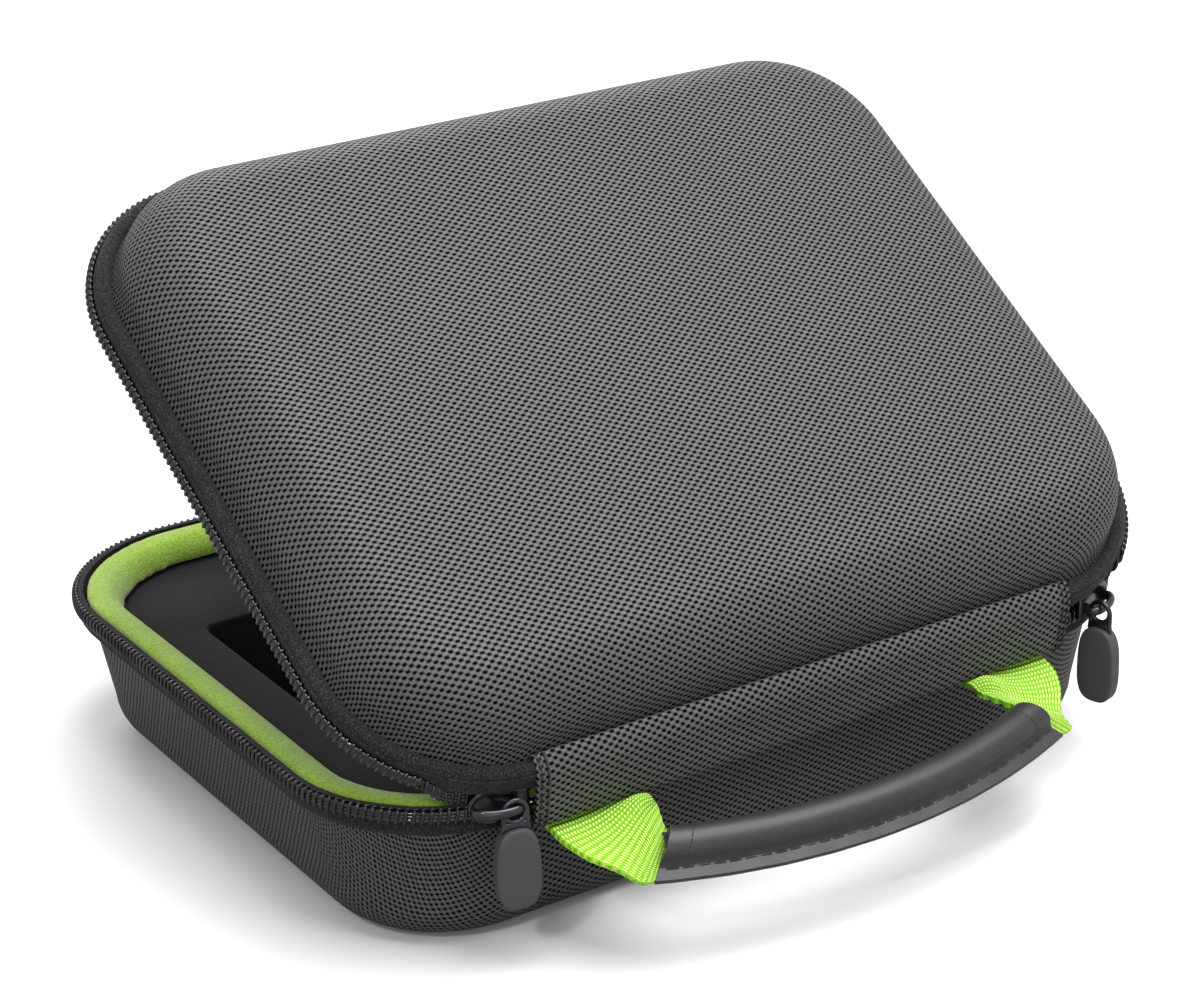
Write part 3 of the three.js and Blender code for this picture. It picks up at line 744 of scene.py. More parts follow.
# Blows a closed shape up as stuffed cloth: even voxels, cloth under pressure, a cap on the swell.
def stuff(piece, cap):
    remesh = piece.modifiers.new("even", "REMESH")
    remesh.mode = "VOXEL"
    remesh.voxel_size = swell["voxel"] * mm
    before = applied(piece)
    rest = [v.co.copy() for v in before.vertices]
    cloth = piece.modifiers.new("cloth", "CLOTH")
    cloth.settings.use_pressure = True
    cloth.settings.uniform_pressure_force = swell["pressure"]
    cloth.settings.effector_weights.gravity = 0
    cloth.settings.quality = swell["quality"]
    for count in range(1, swell["frames"] + 1):
        scene.frame_set(count)
    after = applied(piece)
    for vert, home in zip(after.vertices, rest):
        step = vert.co - home
        if step.length > cap * mm:
            vert.co = home + step.normalized() * cap * mm
    scene.frame_set(1)
    soft = piece.modifiers.new("soft", "SUBSURF")
    soft.levels = soft.render_levels = 1
    applied(piece)
    for face in piece.data.polygons:
        face.use_smooth = True


def applied(piece):
    bpy.context.view_layer.update()
    view = bpy.context.evaluated_depsgraph_get()
    mesh = bpy.data.meshes.new_from_object(piece.evaluated_get(view))
    materials = [slot.material for slot in piece.material_slots]
    piece.modifiers.clear()
    piece.data = mesh
    mesh.materials.clear()
    for material in materials:
        mesh.materials.append(material)
    return mesh


collar = {"inset": 3.8, "width": 8.6, "foamTop": nodeBox("foam_insert")[1].z}


# Each fleece collar is a soft ledge that curves from the zip down to the foam.
def baseCollar():
    top = nodeBox("base_collar")[1].z
    foot = collar["foamTop"] + 0.7
    inner = collar["inset"] + collar["width"]
    points = [(collar["inset"] + 3.4, foot + 0.2), (collar["inset"] + 3.0, baseForm["top"] + 0.4)]
    points += [
        (2.8, baseForm["top"] + 0.8), (2.6, top - 1.3), (2.9, top - 0.3), (collar["inset"] + 0.4, top)
    ]
    points += arcPoints((inner - 0.6, foot + 0.6), (collar["inset"] + 2.4, top - 0.5), 5, True)[::-1]
    points += [(inner - 0.3, foot)]
    bm = bmesh.new()
    sweepRim(bm, points, arcSteps=14, step=6.0)
    turnOut(bm)
    piece = makePiece("base_fleece_collar", bm, "base", ["base_collar"], limeFleece)
    stuff(piece, 0.7)
    return piece


def lidCollar():
    top = seam + 7.6
    points = [(collar["inset"] + 0.4, seam + 0.5), (2.9, seam + 0.9), (2.7, seam + 1.9), (2.8, seam + 4.1)]
    points += [(collar["inset"] + 4.8, seam + 4.9), (collar["inset"] + 5.6, top)]
    points += arcPoints((collar["inset"] + 2.0, seam + 0.9), (collar["inset"] + 8.6, top - 0.9), 5, False)[
        ::-1
    ]
    bm = bmesh.new()
    sweepRim(bm, points, arcSteps=14, step=6.0)
    turnOut(bm)
    piece = makePiece("lid_fleece_collar", bm, "lid", ["lid_collar"], limeFleece, lidOpen)
    stuff(piece, 0.6)
    return piece


def lidLining():
    form = lidForm
    start = seam + form["edgeStart"]
    top = seam + form["height"] - form["wall"] - 0.4
    outside = form["wallInset"] + form["wall"] + 0.4
    points = [(outside, seam + 8.7), (outside, start + 1)]
    points += arcPoints((outside, start + 1), (form["wallInset"] + form["edge"], top), 8, True)
    points += [(middleInset, top)]
    shape = withReach(points[::-1])
    inside = [(p[0] + 0.9, p[1]) for p in points[:4]] + [(p[0] + 0.5, p[1] - 0.8) for p in points[4:]]
    bm = bmesh.new()
    sweepRim(bm, shape + withReach(inside), closed=False, arcSteps=16)
    fillHoles(bm)
    turnOut(bm)
    mapCloth(bm)
    return makePiece("lid_lining_cloth", bm, "lid", ["lid_lining"], liningCloth, lidOpen)


# The foam block: a lofted tray with a softened pocket cut straight down to its pad.
def foamInsert():
    low, high = nodeBox("foam_insert")
    padTop = nodeBox("pocket_pad")[1].z
    pocketX, pocketY = nodeBox("pocket_pad")[1].x + 0.3, nodeBox("pocket_pad")[1].y + 0.3
    foot = baseForm["footInset"] + baseForm["wall"] + 0.3
    lift = baseForm["wall"] + 0.3
    outer = [(foot + 9.4, lift)] + arcPoints((foot + 9.4, lift), (foot, baseForm["edge"]), 5, False)
    outer += [(7.2, high.z - 1.6), (8.0, high.z - 0.5), (9.4, high.z)]
    bm = bmesh.new()
    sweepRim(bm, outer, closed=False, arcSteps=14)
    fillHoles(bm)
    turnOut(bm)
    block = makePiece("foam_block", bm, "base", ["foam_insert"], foamBlack)
    cutter = bmesh.new()
    bmesh.ops.create_cube(cutter, size=1)
    bmesh.ops.scale(cutter, vec=(2 * pocketX, 2 * pocketY, 60), verts=cutter.verts)
    bmesh.ops.translate(cutter, vec=(0, 0, 31), verts=cutter.verts)
    upright = [e for e in cutter.edges if abs(e.verts[0].co.z - e.verts[1].co.z) > 1]
    bmesh.ops.bevel(cutter, geom=upright, offset=3, segments=5, profile=0.5, affect="EDGES", material=-1)
    tool = makePiece("foam_cutter", cutter, "base", [], foamBlack)
    cut = block.modifiers.new("pocket", "BOOLEAN")
    cut.operation = "DIFFERENCE"
    cut.object = tool
    soften = block.modifiers.new("soften", "BEVEL")
    soften.width = 0.9 * mm
    soften.segments = 3
    soften.limit_method = "ANGLE"
    soften.angle_limit = math.radians(50)
    applied(block)
    bpy.data.objects.remove(tool)
    return block


def pocketPad():
    low, high = nodeBox("pocket_pad")
    bm = bmesh.new()
    bmesh.ops.create_grid(bm, x_segments=24, y_segments=12, size=0.5)
    bmesh.ops.scale(bm, vec=(high.x - low.x - 0.6, high.y - low.y - 0.6, 1), verts=bm.verts)
    top = bmesh.ops.extrude_face_region(bm, geom=list(bm.faces))["geom"]
    raised = [g for g in top if isinstance(g, bmesh.types.BMVert)]
    bmesh.ops.translate(bm, verts=raised, vec=(0, 0, high.z - low.z - 0.8))
    turnOut(bm)
    bmesh.ops.translate(bm, verts=bm.verts, vec=(0, 0, low.z + 0.2))
    edges = [e for e in bm.edges if len(e.link_faces) == 2 and e.calc_face_angle(0) > 1]
    bmesh.ops.bevel(bm, geom=edges, offset=0.8, segments=3, profile=0.5, affect="EDGES", material=-1)
    for vert in raised:
        if vert.is_valid:
            acrossX, acrossY = 2 * vert.co.x / (high.x - low.x), 2 * vert.co.y / (high.y - low.y)
            vert.co.z += 0.5 * (1 - acrossX**4) * (1 - acrossY**4)
    piece = makePiece("pocket_floor_pad", bm, "base", ["pocket_pad"], foamBlack)
    return piece


padding = [baseCollar(), lidCollar(), lidLining(), foamInsert(), pocketPad()]
print("padding made")

# The cloth panel between the shells.
panel = {
    "thickness": 1.2,
    "wrapX": 5.0,
    "half": rim["panelHalf"] + 1.5,
    "rows": 44,
    "columns": 90,
    "foldFrom": 14,  # the rows between which it turns with the lid
    "foldTo": 43,
}
panelLow, panelHigh = nodeBox("hinge_panel")


def splineThrough(points, count):
    found = []
    last = len(points) - 1
    for i in range(count + 1):
        spot = i / count * last
        k = min(int(spot), last - 1)
        t = spot - k
        a, b, c, d = (points[max(0, min(last, k + j))] for j in (-1, 0, 1, 2))
        found.append(
            tuple(
                0.5
                * (2 * q + (r - p) * t + (2 * p - 5 * q + 4 * r - s) * t**2 + (3 * q - p - 3 * r + s) * t**3)
                for p, q, r, s in zip(a, b, c, d)
            )
        )
    return found


def panelSection():
    y, z = panelHigh.y, panelLow.z
    out = panelLow.y
    lidY, lidZ = (lidOpen @ Vector((0, -rim["halfY"] + 4.6, seam + 7.6))).yz
    points = [
        (y - 0.4, z + 1.9), (y - 1.6, z + 0.1), (y - 3.6, z - 0.5), (y - 5.2, z + 0.6), (out + 0.6, z + 4.4)
    ]
    points += [(out - 0.1, z + 9.0), (out - 0.6, z + 13.5), (out + 0.2, z + 16.9)]
    points += [(lidY - 0.7, lidZ + 0.7), (lidY + 0.7, lidZ - 0.5)]
    return splineThrough(points, panel["rows"])


# How far a row stands out from the straight line across it: less near the panel's two ends.
def panelSpot(section, row, fromEnd):
    straight = Vector(section[0]).lerp(Vector(section[-1]), row / panel["rows"])
    return straight.lerp(Vector(section[row]), 0.9 + 0.1 * math.sin(fromEnd * math.pi / 2))


def hingePanel():
    section = panelSection()
    lengths = [0.0]
    for before, after in zip(section, section[1:]):
        lengths.append(lengths[-1] + math.dist(before, after))
    bm = bmesh.new()
    bmesh.ops.create_grid(bm, x_segments=panel["columns"], y_segments=panel["rows"], size=0.5)
    laid = bm.loops.layers.uv.new("cloth")
    flat = {}
    for vert in bm.verts:
        row = round((vert.co.y + 0.5) * panel["rows"])
        x = vert.co.x * 2 * panel["half"]
        fromEnd = min(1.0, (panel["half"] - abs(x)) / panel["wrapX"])
        y, z = panelSpot(section, row, fromEnd)
        wave = noise.noise(Vector((x / 22, lengths[row] / 9, 3))) * 0.35 * fromEnd
        flat[vert] = (x, lengths[row])
        vert.co = (x, y - wave, z)
    for face in bm.faces:
        for loop in face.loops:
            loop[laid].uv = flat[loop.vert]
    turnOut(bm)
    if sum(f.normal.y for f in bm.faces) > 0:
        bmesh.ops.reverse_faces(bm, faces=list(bm.faces))
    bmesh.ops.solidify(bm, geom=list(bm.faces), thickness=panel["thickness"])
    piece = makePiece("hinge_panel_cloth", bm, "base", ["hinge_panel"], nylonPanel, ride=False)
    return piece, section


# Thread at each end of the panel: two rows of short stitches that hold it to the tape.
def panelStitches(section):
    bm = bmesh.new()
    for side in (-1, 1):
        for row, inset in enumerate((1.0, 2.6)):
            x = side * (panel["half"] - inset)
            fromEnd = min(1.0, inset / panel["wrapX"])
            for k in range(8 + row, 42, 3):
                spots = []
                for i in (k, k + 2):
                    y, z = panelSpot(section, i, fromEnd)
                    spots.append(Vector((x, y - 0.12, z)))
                middle = (spots[0] + spots[1]) / 2 + Vector((0, -0.22, 0.05))
                rodMesh(bm, [spots[0], middle, spots[1]], 0.26, 1)
    return makePiece("panel_stitches", bm, "base", [], blackThread, ride=False)


panelCloth, panelLine = hingePanel()
panelThread = panelStitches(panelLine)
panelFrom = Vector((0, *panelLine[panel["foldFrom"]])) * mm
panelTo = Vector((0, *panelLine[panel["foldTo"]])) * mm
for piece in (panelCloth, panelThread):
    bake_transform(piece, "base", "lid", start=panelFrom, end=panelTo)
print("hinge panel made")

# The webbing handle and its sleeve.
handleJoint = joints["handle_swing"]
handleAt = Vector(handleJoint["pos_m"]) / mm
handleDroop = math.radians(10)
# The handle's own flat frame: x along the hinge, -y outwards, turned down by its droop.
handlePlace = Matrix.Translation(handleAt) @ Matrix.Rotation(handleDroop, 4, "X")
sleeve = {
    "radius": 4.6,
    "curve": 161.0,
    "reach": 31.7,
    "span": 107.0,
    "fin": 4.0,
    "finThick": 1.5,
    "slant": 0.008,
    "roll": math.radians(30),
    "crossSeam": 0.034,  # the turn from each end to the seam across it
}
sleeve["half"] = math.asin(sleeve["span"] / 2 / sleeve["curve"])
sleeve["centre"] = sleeve["curve"] - sleeve["reach"]
webbing = {"width": 25.4, "middle": 60.1}


def gripSpot(angle, outwards=0.0, up=0.0):
    radius = sleeve["curve"] + outwards
    return Vector((radius * math.sin(angle), sleeve["centre"] - radius * math.cos(angle), up))


# The same, with the sleeve's fin hanging down at its roll and its ends cut on a slant.
def sleeveSpot(angle, out, up=0.0):
    c, s = math.cos(sleeve["roll"]), math.sin(sleeve["roll"])
    return gripSpot(angle * (1 + sleeve["slant"] * out), out * c + up * s, up * c - out * s)


# The sleeve's section, seen along the grip: a tube with its sewn fin at the outer side.
def sleeveSection():
    found = []
    finHalf = sleeve["finThick"] / 2
    gape = math.asin(finHalf / sleeve["radius"]) + 0.18
    count = 26
    for i in range(count + 1):
        angle = gape + (2 * math.pi - 2 * gape) * i / count
        found.append((sleeve["radius"] * math.cos(angle), sleeve["radius"] * math.sin(angle)))
    root = sleeve["radius"] * math.cos(gape) + 0.5
    tip = sleeve["radius"] + sleeve["fin"]
    found += [(root + 0.5, -finHalf), (tip - 0.4, -finHalf), (tip, -finHalf * 0.4)]
    found += [(tip, finHalf * 0.4), (tip - 0.4, finHalf), (root + 0.5, finHalf)]
    return found


def handleSleeve():
    bm = bmesh.new()
    turn = sleeve["half"]
    verts = []
    for out, up in sleeveSection():
        verts.append(bm.verts.new(gripSpot(-turn, out, up)))
    face = bm.faces.new(verts)
    spun = spinUpright(bm, [face] + list(face.edges) + verts, (0, sleeve["centre"], 0), 2 * turn, 56)
    turnOut(bm)
    for end in (face, [g for g in spun if isinstance(g, bmesh.types.BMFace)][0]):
        if not end.is_valid:
            continue
        bmesh.ops.inset_region(bm, faces=[end], thickness=0.9, depth=0)
        bmesh.ops.inset_region(bm, faces=[end], thickness=0.15, depth=-1.6)
    for vert in bm.verts:
        angle = math.atan2(vert.co.x, sleeve["centre"] - vert.co.y)
        out = math.hypot(vert.co.x, sleeve["centre"] - vert.co.y) - sleeve["curve"]
        # The seam across the sleeve near each end draws it in.
        pinch = math.exp(-((abs(angle) - turn + sleeve["crossSeam"]) / 0.005) ** 2)
        ring = noise.noise(Vector((angle * 22, vert.co.z / 7, out / 9))) * 0.22
        swell = 1 + 0.015 * ring - 0.05 * pinch
        up = vert.co.z * swell + ring * 0.4
        if out > sleeve["radius"]:
            up += 0.1 * math.sin(angle * 85)
        vert.co = sleeveSpot(angle, out, up)
    piece = makePiece(
        "handle_sleeve_skin", bm, "handle", ["handle_sleeve"], leatherette, handlePlace
    )
    return piece


def sleeveStitches():
    bm = bmesh.new()
    turn = sleeve["half"]
    seamOut = sleeve["radius"] + 1.0
    stitch, space = 0.0165, 0.005
    for up in (1, -1):
        height = up * (sleeve["finThick"] / 2 + 0.12)
        angle = -turn + 0.01
        while angle + stitch < turn - 0.005:
            bow = ((0, -0.2), (0.5, 0.06), (1, -0.2))
            spots = [sleeveSpot(angle + stitch * t, seamOut, height + up * lift) for t, lift in bow]
            rodMesh(bm, spots, 0.2, 1)
            angle += stitch + space
    for side in (-1, 1):
        angle = side * (turn - sleeve["crossSeam"])
        for k in range(7):
            around = [math.radians(32 + (k + t) * 19) for t in (0.08, 0.5, 0.8)]
            reach = sleeve["radius"] - 0.2
            for up in (1, -1):
                spots = [sleeveSpot(angle, reach * math.cos(a), up * reach * math.sin(a)) for a in around]
                rodMesh(bm, spots, 0.19, 1)
    return makePiece("sleeve_stitches", bm, "handle", [], blackThread, handlePlace)


# One end of the webbing: flat where it comes out from under the hinge panel, then turned through
# a right angle and folded upright into the sleeve. Ribs cross it and fan round the turn.
def strapEnd(side):
    half = webbing["width"] / 2
    middle = webbing["middle"]
    mouth = [sleeveSpot(sleeve["half"] - 0.003, out) for out in (-4.3, 7.9)]
    pinch = 2.6 if side > 0 else 0.0  # the right end is drawn in more
    far, near = middle + half, middle - half
    outer = [(far, 0.8), (far - 0.2, -5), (far - 0.4 - 0.5 * pinch, -11)]
    outer += [(far - 2.4 - pinch, -17.0), (far - 7.0 - pinch, -23.0)]
    outer += [(mouth[1].x + 4.2, mouth[1].y + 0.3), tuple(mouth[1].xy)]
    inner = [(near, 0.8), (near - 0.1, -3.0), (near - 0.3, -6.0), (near - 0.2, -8.5)]
    inner += [(near + 0.3, -11.0), (mouth[0].x + 1.2, mouth[0].y + 0.2), tuple(mouth[0].xy)]
    rows, columns = 168, 22
    outerLine, innerLine = splineThrough(outer, rows), splineThrough(inner, rows)
    length = sum(math.dist(a, b) for a, b in zip(outerLine, outerLine[1:]))
    bm = bmesh.new()
    bmesh.ops.create_grid(bm, x_segments=rows, y_segments=columns, size=0.5)
    laid = bm.loops.layers.uv.new("cloth")
    flat = {}
    for vert in bm.verts:
        row = round((vert.co.x + 0.5) * rows)
        across = vert.co.y + 0.5
        u = row / rows
        run = u * length * 0.96
        edge = math.sin(math.pi * run / strap["rib"]) ** 2
        wide = 0.5 + (across - 0.5) * (1 + 0.008 * edge)
        x, y = Vector(innerLine[row]).lerp(Vector(outerLine[row]), wide)
        fold = eased((u - 0.5) / 0.3)
        lift = 2.6 * math.exp(-(((across - 0.17) / 0.2) ** 2)) * math.exp(-(((u - 0.4) / 0.17) ** 2))
        lift += 1.8 * fold * math.sin(math.pi * across) * (1 - 0.55 * max(0.0, (u - 0.85) / 0.15))
        lift += 0.6 * math.sin(math.pi * u) * math.sin(2 * math.pi * across + 0.6)
        rib = strap["ridge"] * math.sin(math.pi * run / strap["rib"]) ** 2
        flat[vert] = (run, across * webbing["width"])
        hang = eased((u - 0.35) / 0.65)
        drop = (mouth[0].z + (mouth[1].z - mouth[0].z) * across) * hang
        vert.co = (side * x, y, lift * (1 - 0.6 * hang) + drop + rib)
    for face in bm.faces:
        for loop in face.loops:
            loop[laid].uv = flat[loop.vert]
    turnOut(bm)
    if sum(f.normal.z for f in bm.faces) < 0:
        bmesh.ops.reverse_faces(bm, faces=list(bm.faces))
    bmesh.ops.solidify(bm, geom=list(bm.faces), thickness=strap["thickness"])
    name = "strap_end_right" if side > 0 else "strap_end_left"
    piece = makePiece(
        name, bm, "handle", ["handle_strap"] if side > 0 else [], limeWebbing, handlePlace
    )
    return piece


# The webbing's sewn tail, flat between the base and the hinge panel.
def strapTail(side):
    name = "strap_tab_right" if side > 0 else "strap_tab_left"
    low, high = nodeBox(name)
    bm = bmesh.new()
    bmesh.ops.create_grid(bm, x_segments=12, y_segments=20, size=0.5)
    laid = bm.loops.layers.uv.new("cloth")
    slant = (high.y - low.y - 1.1) / (high.z - low.z)
    for face in bm.faces:
        for loop in face.loops:
            loop[laid].uv = (loop.vert.co.y * (high.z - low.z), loop.vert.co.x * webbing["width"])
    for vert in bm.verts:
        x = (low.x + high.x) / 2 + vert.co.x * (high.x - low.x)
        share = vert.co.y + 0.5
        z = low.z + share * (high.z - low.z)
        y = high.y - 0.25 - slant * share * (high.z - low.z)
        vert.co = (x, y, z)
    turnOut(bm)
    bmesh.ops.solidify(bm, geom=list(bm.faces), thickness=0.8)
    return makePiece(name + "_tail", bm, "base", [name], limeWebbing)


handlePieces = [handleSleeve(), sleeveStitches()]
handlePieces += [strapEnd(side) for side in (-1, 1)]
handlePieces += [strapTail(side) for side in (-1, 1)]
coreNode = frame["nodes"]["handle_core"]
for slotSpot in coreNode.material_slots:
    slotSpot.material = foamBlack
print("handle made")

# The two sliders and their pulls.
slider = {
    "half": 6.7,
    "crown": 4.75,
    "tail": 2.9,
    "plate": 1.2,
    "gapOut": 1.55,
    "standoff": 2.9,
    "arm": 0.92,
    "park": {1: 20, -1: 12},  # degrees round each corner at rest
}
pull = {
    "ring": 2.72,
    "wire": 0.66,
    "drop": 1.2,
    "gripHalf": 5.25,
    "gripLong": 10.1,
    "gripThick": 2.0,
    "twist": math.radians(95),  # the right pull hangs turned, and a little further out
    "twistOut": 0.9,
}


# The slider's place: x along the zip, -y outwards, from the middle of its corner.
def sliderPlace(side):
    body = "slider_right" if side > 0 else "slider_left"
    corner = Vector((side * rim["sx"], -rim["sy"], 0))
    park = math.radians(slider["park"][side])
    return body, Matrix.Translation(corner) @ Matrix.Rotation(side * park, 4, "Z")


def bendRound(bm):
    for vert in bm.verts:
        angle = vert.co.x / rim["radius"]
        radius = -vert.co.y
        vert.co.x, vert.co.y = radius * math.sin(angle), -radius * math.cos(angle)


# Half of a plate's outline, from its round nose by its crown to its narrow tail.
def plateOutline(scale=1.0):
    half, crown, tail = slider["half"], slider["crown"] * scale, slider["tail"] * scale
    found = []
    for i in range(11):
        angle = math.pi / 2 * i / 10
        found.append((-half + (half + 0.2) * (1 - math.cos(angle)), crown * math.sin(angle) ** 0.9))
    found += [
        (0.9, crown * 0.985),
        (1.6, crown * 0.92),
        (2.3, crown * 0.81),
        (3.0, tail * 1.17),
        (3.8, tail * 1.07),
    ]
    return found + [(5.0, tail), (half - 0.3, tail * 1.01), (half, tail * 0.93)]


def plateMesh(bm, outer, inner, scale):
    points = plateOutline(scale)
    points = points + [(x, -z) for x, z in points[::-1] if z > 0.01]
    verts = [bm.verts.new((x, -outer, seam + z)) for x, z in points]
    face = bm.faces.new(verts)
    grown = bmesh.ops.extrude_face_region(bm, geom=[face])["geom"]
    back = [g for g in grown if isinstance(g, bmesh.types.BMVert)]
    bmesh.ops.translate(bm, verts=back, vec=(0, outer - inner, 0))
    bmesh.ops.recalc_face_normals(bm, faces=bm.faces[:])
    sharp = [e for e in bm.edges if e.calc_face_angle(0) > 0.9]
    return [e for e in sharp if e.verts[0].co.y == e.verts[1].co.y]


def sliderBody(side):
    body, place = sliderPlace(side)
    bm = bmesh.new()
    surface = rim["radius"] + slider["gapOut"]
    edges = plateMesh(bm, surface + slider["plate"], surface, 1.0)
    bmesh.ops.bevel(bm, geom=edges, offset=0.4, segments=3, profile=0.5, affect="EDGES", material=-1)
    front = max(
        bm.faces,
        key=lambda f: f.calc_area() * (f.calc_center_median().y < -surface - 0.5 * slider["plate"]),
    )
    bmesh.ops.inset_region(bm, faces=[front], thickness=0.55, depth=0)
    bmesh.ops.inset_region(bm, faces=[front], thickness=0.35, depth=-0.3)
    inner = bmesh.new()
    depth = rim["radius"] - 1.97
    edges = plateMesh(inner, depth, depth - 0.55, 0.97)
    bmesh.ops.bevel(inner, geom=edges, offset=0.2, segments=2, profile=0.5, affect="EDGES", material=-1)
    joinInto(bm, inner)
    lips = bmesh.new()  # the flanges that close over the coils, above and below
    for up in (-1, 1):
        wide = (-3.4, 1.2, slider["crown"] - 0.9)
        narrow = (2.6, slider["half"] - 0.2, slider["tail"] - 0.5)
        for x0, x1, z in (wide, narrow):
            made = bmesh.ops.create_cube(lips, size=1)["verts"]
            bmesh.ops.scale(lips, vec=(x1 - x0, 0.9, 0.7), verts=made)
            bmesh.ops.translate(lips, vec=((x0 + x1) / 2, -surface + 0.3, seam + up * z), verts=made)
    bmesh.ops.bevel(
        lips, geom=lips.edges[:], offset=0.15, segments=2, profile=0.5, affect="EDGES", material=-1
    )
    joinInto(bm, lips)
    post = bmesh.new()
    length = surface - depth + 0.6
    made = bmesh.ops.create_cone(post, cap_ends=True, segments=20, radius1=1.0, radius2=1.0, depth=length)[
        "verts"
    ]
    bmesh.ops.scale(post, vec=(2.0, 0.24, 1), verts=made)
    turn = Matrix.Rotation(math.pi / 2, 3, "X")
    bmesh.ops.rotate(post, cent=(0, 0, 0), matrix=turn, verts=made)
    bmesh.ops.translate(post, vec=(-3.4, -(surface + depth) / 2, seam), verts=made)
    joinInto(bm, post)
    bendRound(bm)
    reach = surface + slider["plate"]
    top = reach + slider["standoff"]
    arm = [
        (-6.0, reach - 0.7, 0.9),
        (-5.9, reach + 0.4, 1.1),
        (-5.2, reach + 1.5, 1.15),
        (-3.6, top - 0.5, 1.05),
    ]
    arm += [
        (-1.2, top, 1.0),
        (1.2, top, 0.98),
        (3.2, top - 0.2, 0.95),
        (4.4, top - 0.9, 0.85),
        (4.6, reach + 0.9, 0.72),
    ]
    arm += [(4.5, reach - 0.5, 0.72)]
    spots = [Vector((x, -r, seam - 0.7)) for x, r, _ in arm]
    level = Vector((0, 0, seam - 0.7))
    tall = Matrix.Translation(level) @ Matrix.Diagonal((1, 1, 1.4, 1)) @ Matrix.Translation(-level)
    rodMesh(bm, spots, slider["arm"], 3, flatten=tall, radii=[r for _, _, r in arm])
    mirrorFor(bm, -side)
    return makePiece(body + "_casting", bm, body, [body], gunmetal, place, 50.0)


def joinInto(bm, other):
    mesh = bpy.data.meshes.new("join")
    other.to_mesh(mesh)
    other.free()
    bm.from_mesh(mesh)
    bpy.data.meshes.remove(mesh)


# The left slider's mouth looks away from the panel, and the right one's is its mirror image.
def mirrorFor(bm, side):
    if side < 0:
        bmesh.ops.scale(bm, vec=(-1, 1, 1), verts=bm.verts)
        bmesh.ops.reverse_faces(bm, faces=list(bm.faces))


# The pull hangs on the arm's panel end: a flat ring, a tapered neck and a moulded grip.
def pullPieces(side):
    body, place = sliderPlace(side)
    name = "right" if side > 0 else "left"
    reach = rim["radius"] + slider["gapOut"] + slider["plate"]
    hang = Vector((2.9, -(reach + 2.0), seam - pull["drop"]))
    if side > 0:
        hang.y -= pull["twistOut"]
    ring = bmesh.new()
    flat = Matrix.Translation(hang) @ Matrix.Diagonal((1, 0.85, 1, 1)) @ Matrix.Translation(-hang)
    circle = [
        hang + Vector((pull["ring"] * math.cos(a), 0, pull["ring"] * math.sin(a))) for a in angles(20)
    ]
    rodMesh(ring, circle, pull["wire"], 3, closed=True, flatten=flat)
    neck = bmesh.new()
    made = bmesh.ops.create_cube(neck, size=1)["verts"]
    for vert in made:
        wide = 7.1 if vert.co.z < 0 else 6.4
        vert.co = Vector((vert.co.x * wide, vert.co.y * 1.05, vert.co.z * 2.6))
    bmesh.ops.bevel(
        neck, geom=neck.edges[:], offset=0.35, segments=3, profile=0.5, affect="EDGES", material=-1
    )
    bmesh.ops.translate(neck, vec=hang + Vector((0, 0, -pull["ring"] - 1.1)), verts=neck.verts)
    joinInto(ring, neck)
    for edge in (-1, 1):
        line = [hang + Vector((edge * pull["ring"], 0, z)) for z in (0.0, -1.2, -2.4, -3.4)]
        rodMesh(ring, line, pull["wire"], 3, flatten=flat)
    grip = bmesh.new()
    bmesh.ops.create_uvsphere(grip, u_segments=56, v_segments=28, radius=1)
    top = hang + Vector((0, 0, -pull["ring"] - 1.4 - pull["gripLong"]))
    for vert in grip.verts:
        x, y, z = vert.co
        size = (abs(x) ** 3 + abs(z) ** 3) ** (1 / 3) if abs(x) + abs(z) > 1e-6 else 1
        flat = math.hypot(x, z)
        grow = flat / size if size > 1e-6 else 1
        level = math.copysign(abs(y) ** 0.45, y)
        wide = (1 - min(1, abs(y)) ** 6) ** 0.18 if abs(y) < 1 else 0
        spread = grow * (wide / flat if flat > 1e-6 else 0)
        taper = 1 - 0.05 * z * wide
        across, along = x * spread * pull["gripHalf"] * taper, z * spread * pull["gripLong"]
        vert.co = Vector((across, level * pull["gripThick"], along))
    bmesh.ops.remove_doubles(grip, verts=grip.verts, dist=1e-4)
    bmesh.ops.translate(grip, vec=top, verts=grip.verts)
    twist = Matrix.Identity(4)
    if side > 0:  # this one hangs turned to the left
        middle = Vector((hang.x, hang.y, 0))
        twist = Matrix.Translation(middle) @ Matrix.Rotation(pull["twist"], 4, "Z") @ Matrix.Translation(
            -middle
        )
    made = []
    for part, label, slotName, node, material in (
        (ring, "pull_ring_", "slider_metal", "pull_link_", gunmetal),
        (grip, "pull_rubber_", "grip_rubber", "pull_grip_", gripRubber),
    ):
        part.transform(twist)
        mirrorFor(part, -side)
        made.append(
            makePiece(label + name, part, "pull_" + name, [node + name], material, place, 60.0)
        )
    return made


def angles(count):
    return [2 * math.pi * i / count for i in range(count)]


hardware = [sliderBody(side) for side in (-1, 1)]
for side in (-1, 1):
    hardware += pullPieces(side)
print("sliders made")


# The studio: each lamp's watts, size and place, the world's strength, and the floor.
studio = {
    "lamps": {
        "key": (34.0, 1.3, (0.25, -0.35, 1.35)),
        "fill": (3.0, 1.0, (-0.5, -1.3, 0.5)),
        "back": (8.0, 1.0, (0.5, 1.1, 0.9)),
        "glint": (2.5, 0.1, (-0.75, -0.55, 0.8)),
    },
    "world": 0.42,
    "floorHalf": 1.6,
    "floorDrop": 0.0004,
}


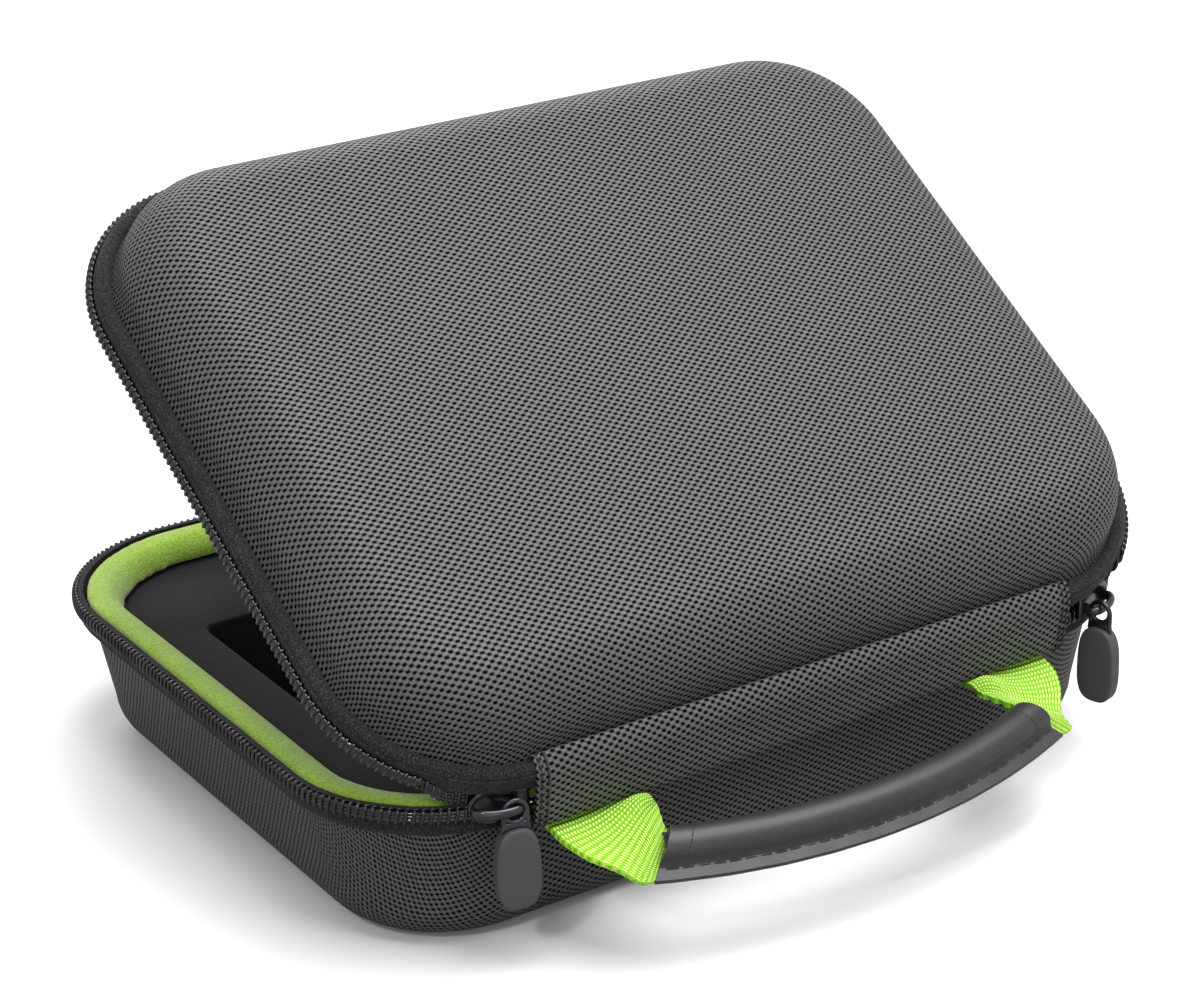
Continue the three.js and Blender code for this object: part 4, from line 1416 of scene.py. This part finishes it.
# Pale for the camera and grey for every other ray, and a plain matt floor for the object's shadow.
def paleSurface(name, matt):
    material, tree, shader, _ = newMaterial(name)
    paths = addNode(tree, "ShaderNodeLightPath")
    tone = addNode(
        tree,
        "ShaderNodeMix",
        {"Factor": paths.outputs["Is Camera Ray"], "A": linear("#A6A6A6"), "B": linear(matt)},
        data_type="RGBA",
    )
    tree.links.new(tone.outputs["Result"], shader.inputs["Base Color"])
    shader.inputs["Roughness"].default_value = 0.9
    return material


def floorMesh():
    bm = bmesh.new()
    bmesh.ops.create_grid(bm, x_segments=1, y_segments=1, size=studio["floorHalf"])
    mesh = bpy.data.meshes.new("floor")
    bm.to_mesh(mesh)
    bm.free()
    floor = bpy.data.objects.new("floor", mesh)
    floor.location.z = -studio["floorDrop"]
    scene.collection.objects.link(floor)
    mesh.materials.append(paleSurface("floor_white", "#F6F6F6"))


def areaLight(name, power, size, place, aim=(0, 0, 0.05)):
    light = bpy.data.lights.new(name, "AREA")
    light.energy = power
    light.size = size
    lamp = bpy.data.objects.new(name, light)
    lamp.location = place
    lamp.rotation_euler = (Vector(aim) - Vector(place)).to_track_quat("-Z", "Y").to_euler()
    scene.collection.objects.link(lamp)


def makeWorld():
    world = bpy.data.worlds.new("studio")
    scene.world = world
    world.use_nodes = True
    tree = world.node_tree
    background = tree.nodes["Background"]
    paths = addNode(tree, "ShaderNodeLightPath")
    seen = addNode(
        tree,
        "ShaderNodeMath",
        {0: paths.outputs["Is Camera Ray"], 1: paths.outputs["Is Glossy Ray"]},
        operation="MAXIMUM",
    )
    strength = addNode(
        tree, "ShaderNodeMapRange", {"Value": seen.outputs[0], "To Min": studio["world"], "To Max": 1.0}
    )
    background.inputs["Color"].default_value = (1, 1, 1, 1)
    tree.links.new(strength.outputs["Result"], background.inputs["Strength"])


# The camera stands to the left and above, about 0.8 m away. Angles are degrees, lengths are mm.
view = {
    "azimuth": -33.75,
    "elevation": 24.91,
    "roll": 1.15,
    "distance": 812.0,
    "aim": (19.3, 2.1, 30.0),
    "lens": 92.65,
    "shift": (-0.0397, 0.0737),
}


def makeCamera():
    turn, lift = math.radians(view["azimuth"]), math.radians(view["elevation"])
    back = Vector((math.sin(turn) * math.cos(lift), -math.cos(turn) * math.cos(lift), math.sin(lift)))
    data = bpy.data.cameras.new("camera")
    data.sensor_width = 36
    data.lens = view["lens"]
    data.shift_x, data.shift_y = view["shift"]
    data.clip_start = 0.01
    camera = bpy.data.objects.new("camera", data)
    camera.location = (Vector(view["aim"]) + back * view["distance"]) * mm
    aimed = back.to_track_quat("Z", "Y") @ Matrix.Rotation(math.radians(-view["roll"]), 3, "Z").to_quaternion(
        
    )
    camera.rotation_mode = "QUATERNION"
    camera.rotation_quaternion = aimed
    scene.collection.objects.link(camera)
    scene.camera = camera


floorMesh()
for name, (power, size, place) in studio["lamps"].items():
    areaLight(name, power, size, place)
makeWorld()
makeCamera()
scene.view_settings.view_transform = "Standard"
print("studio made")

bpy.context.view_layer.update()
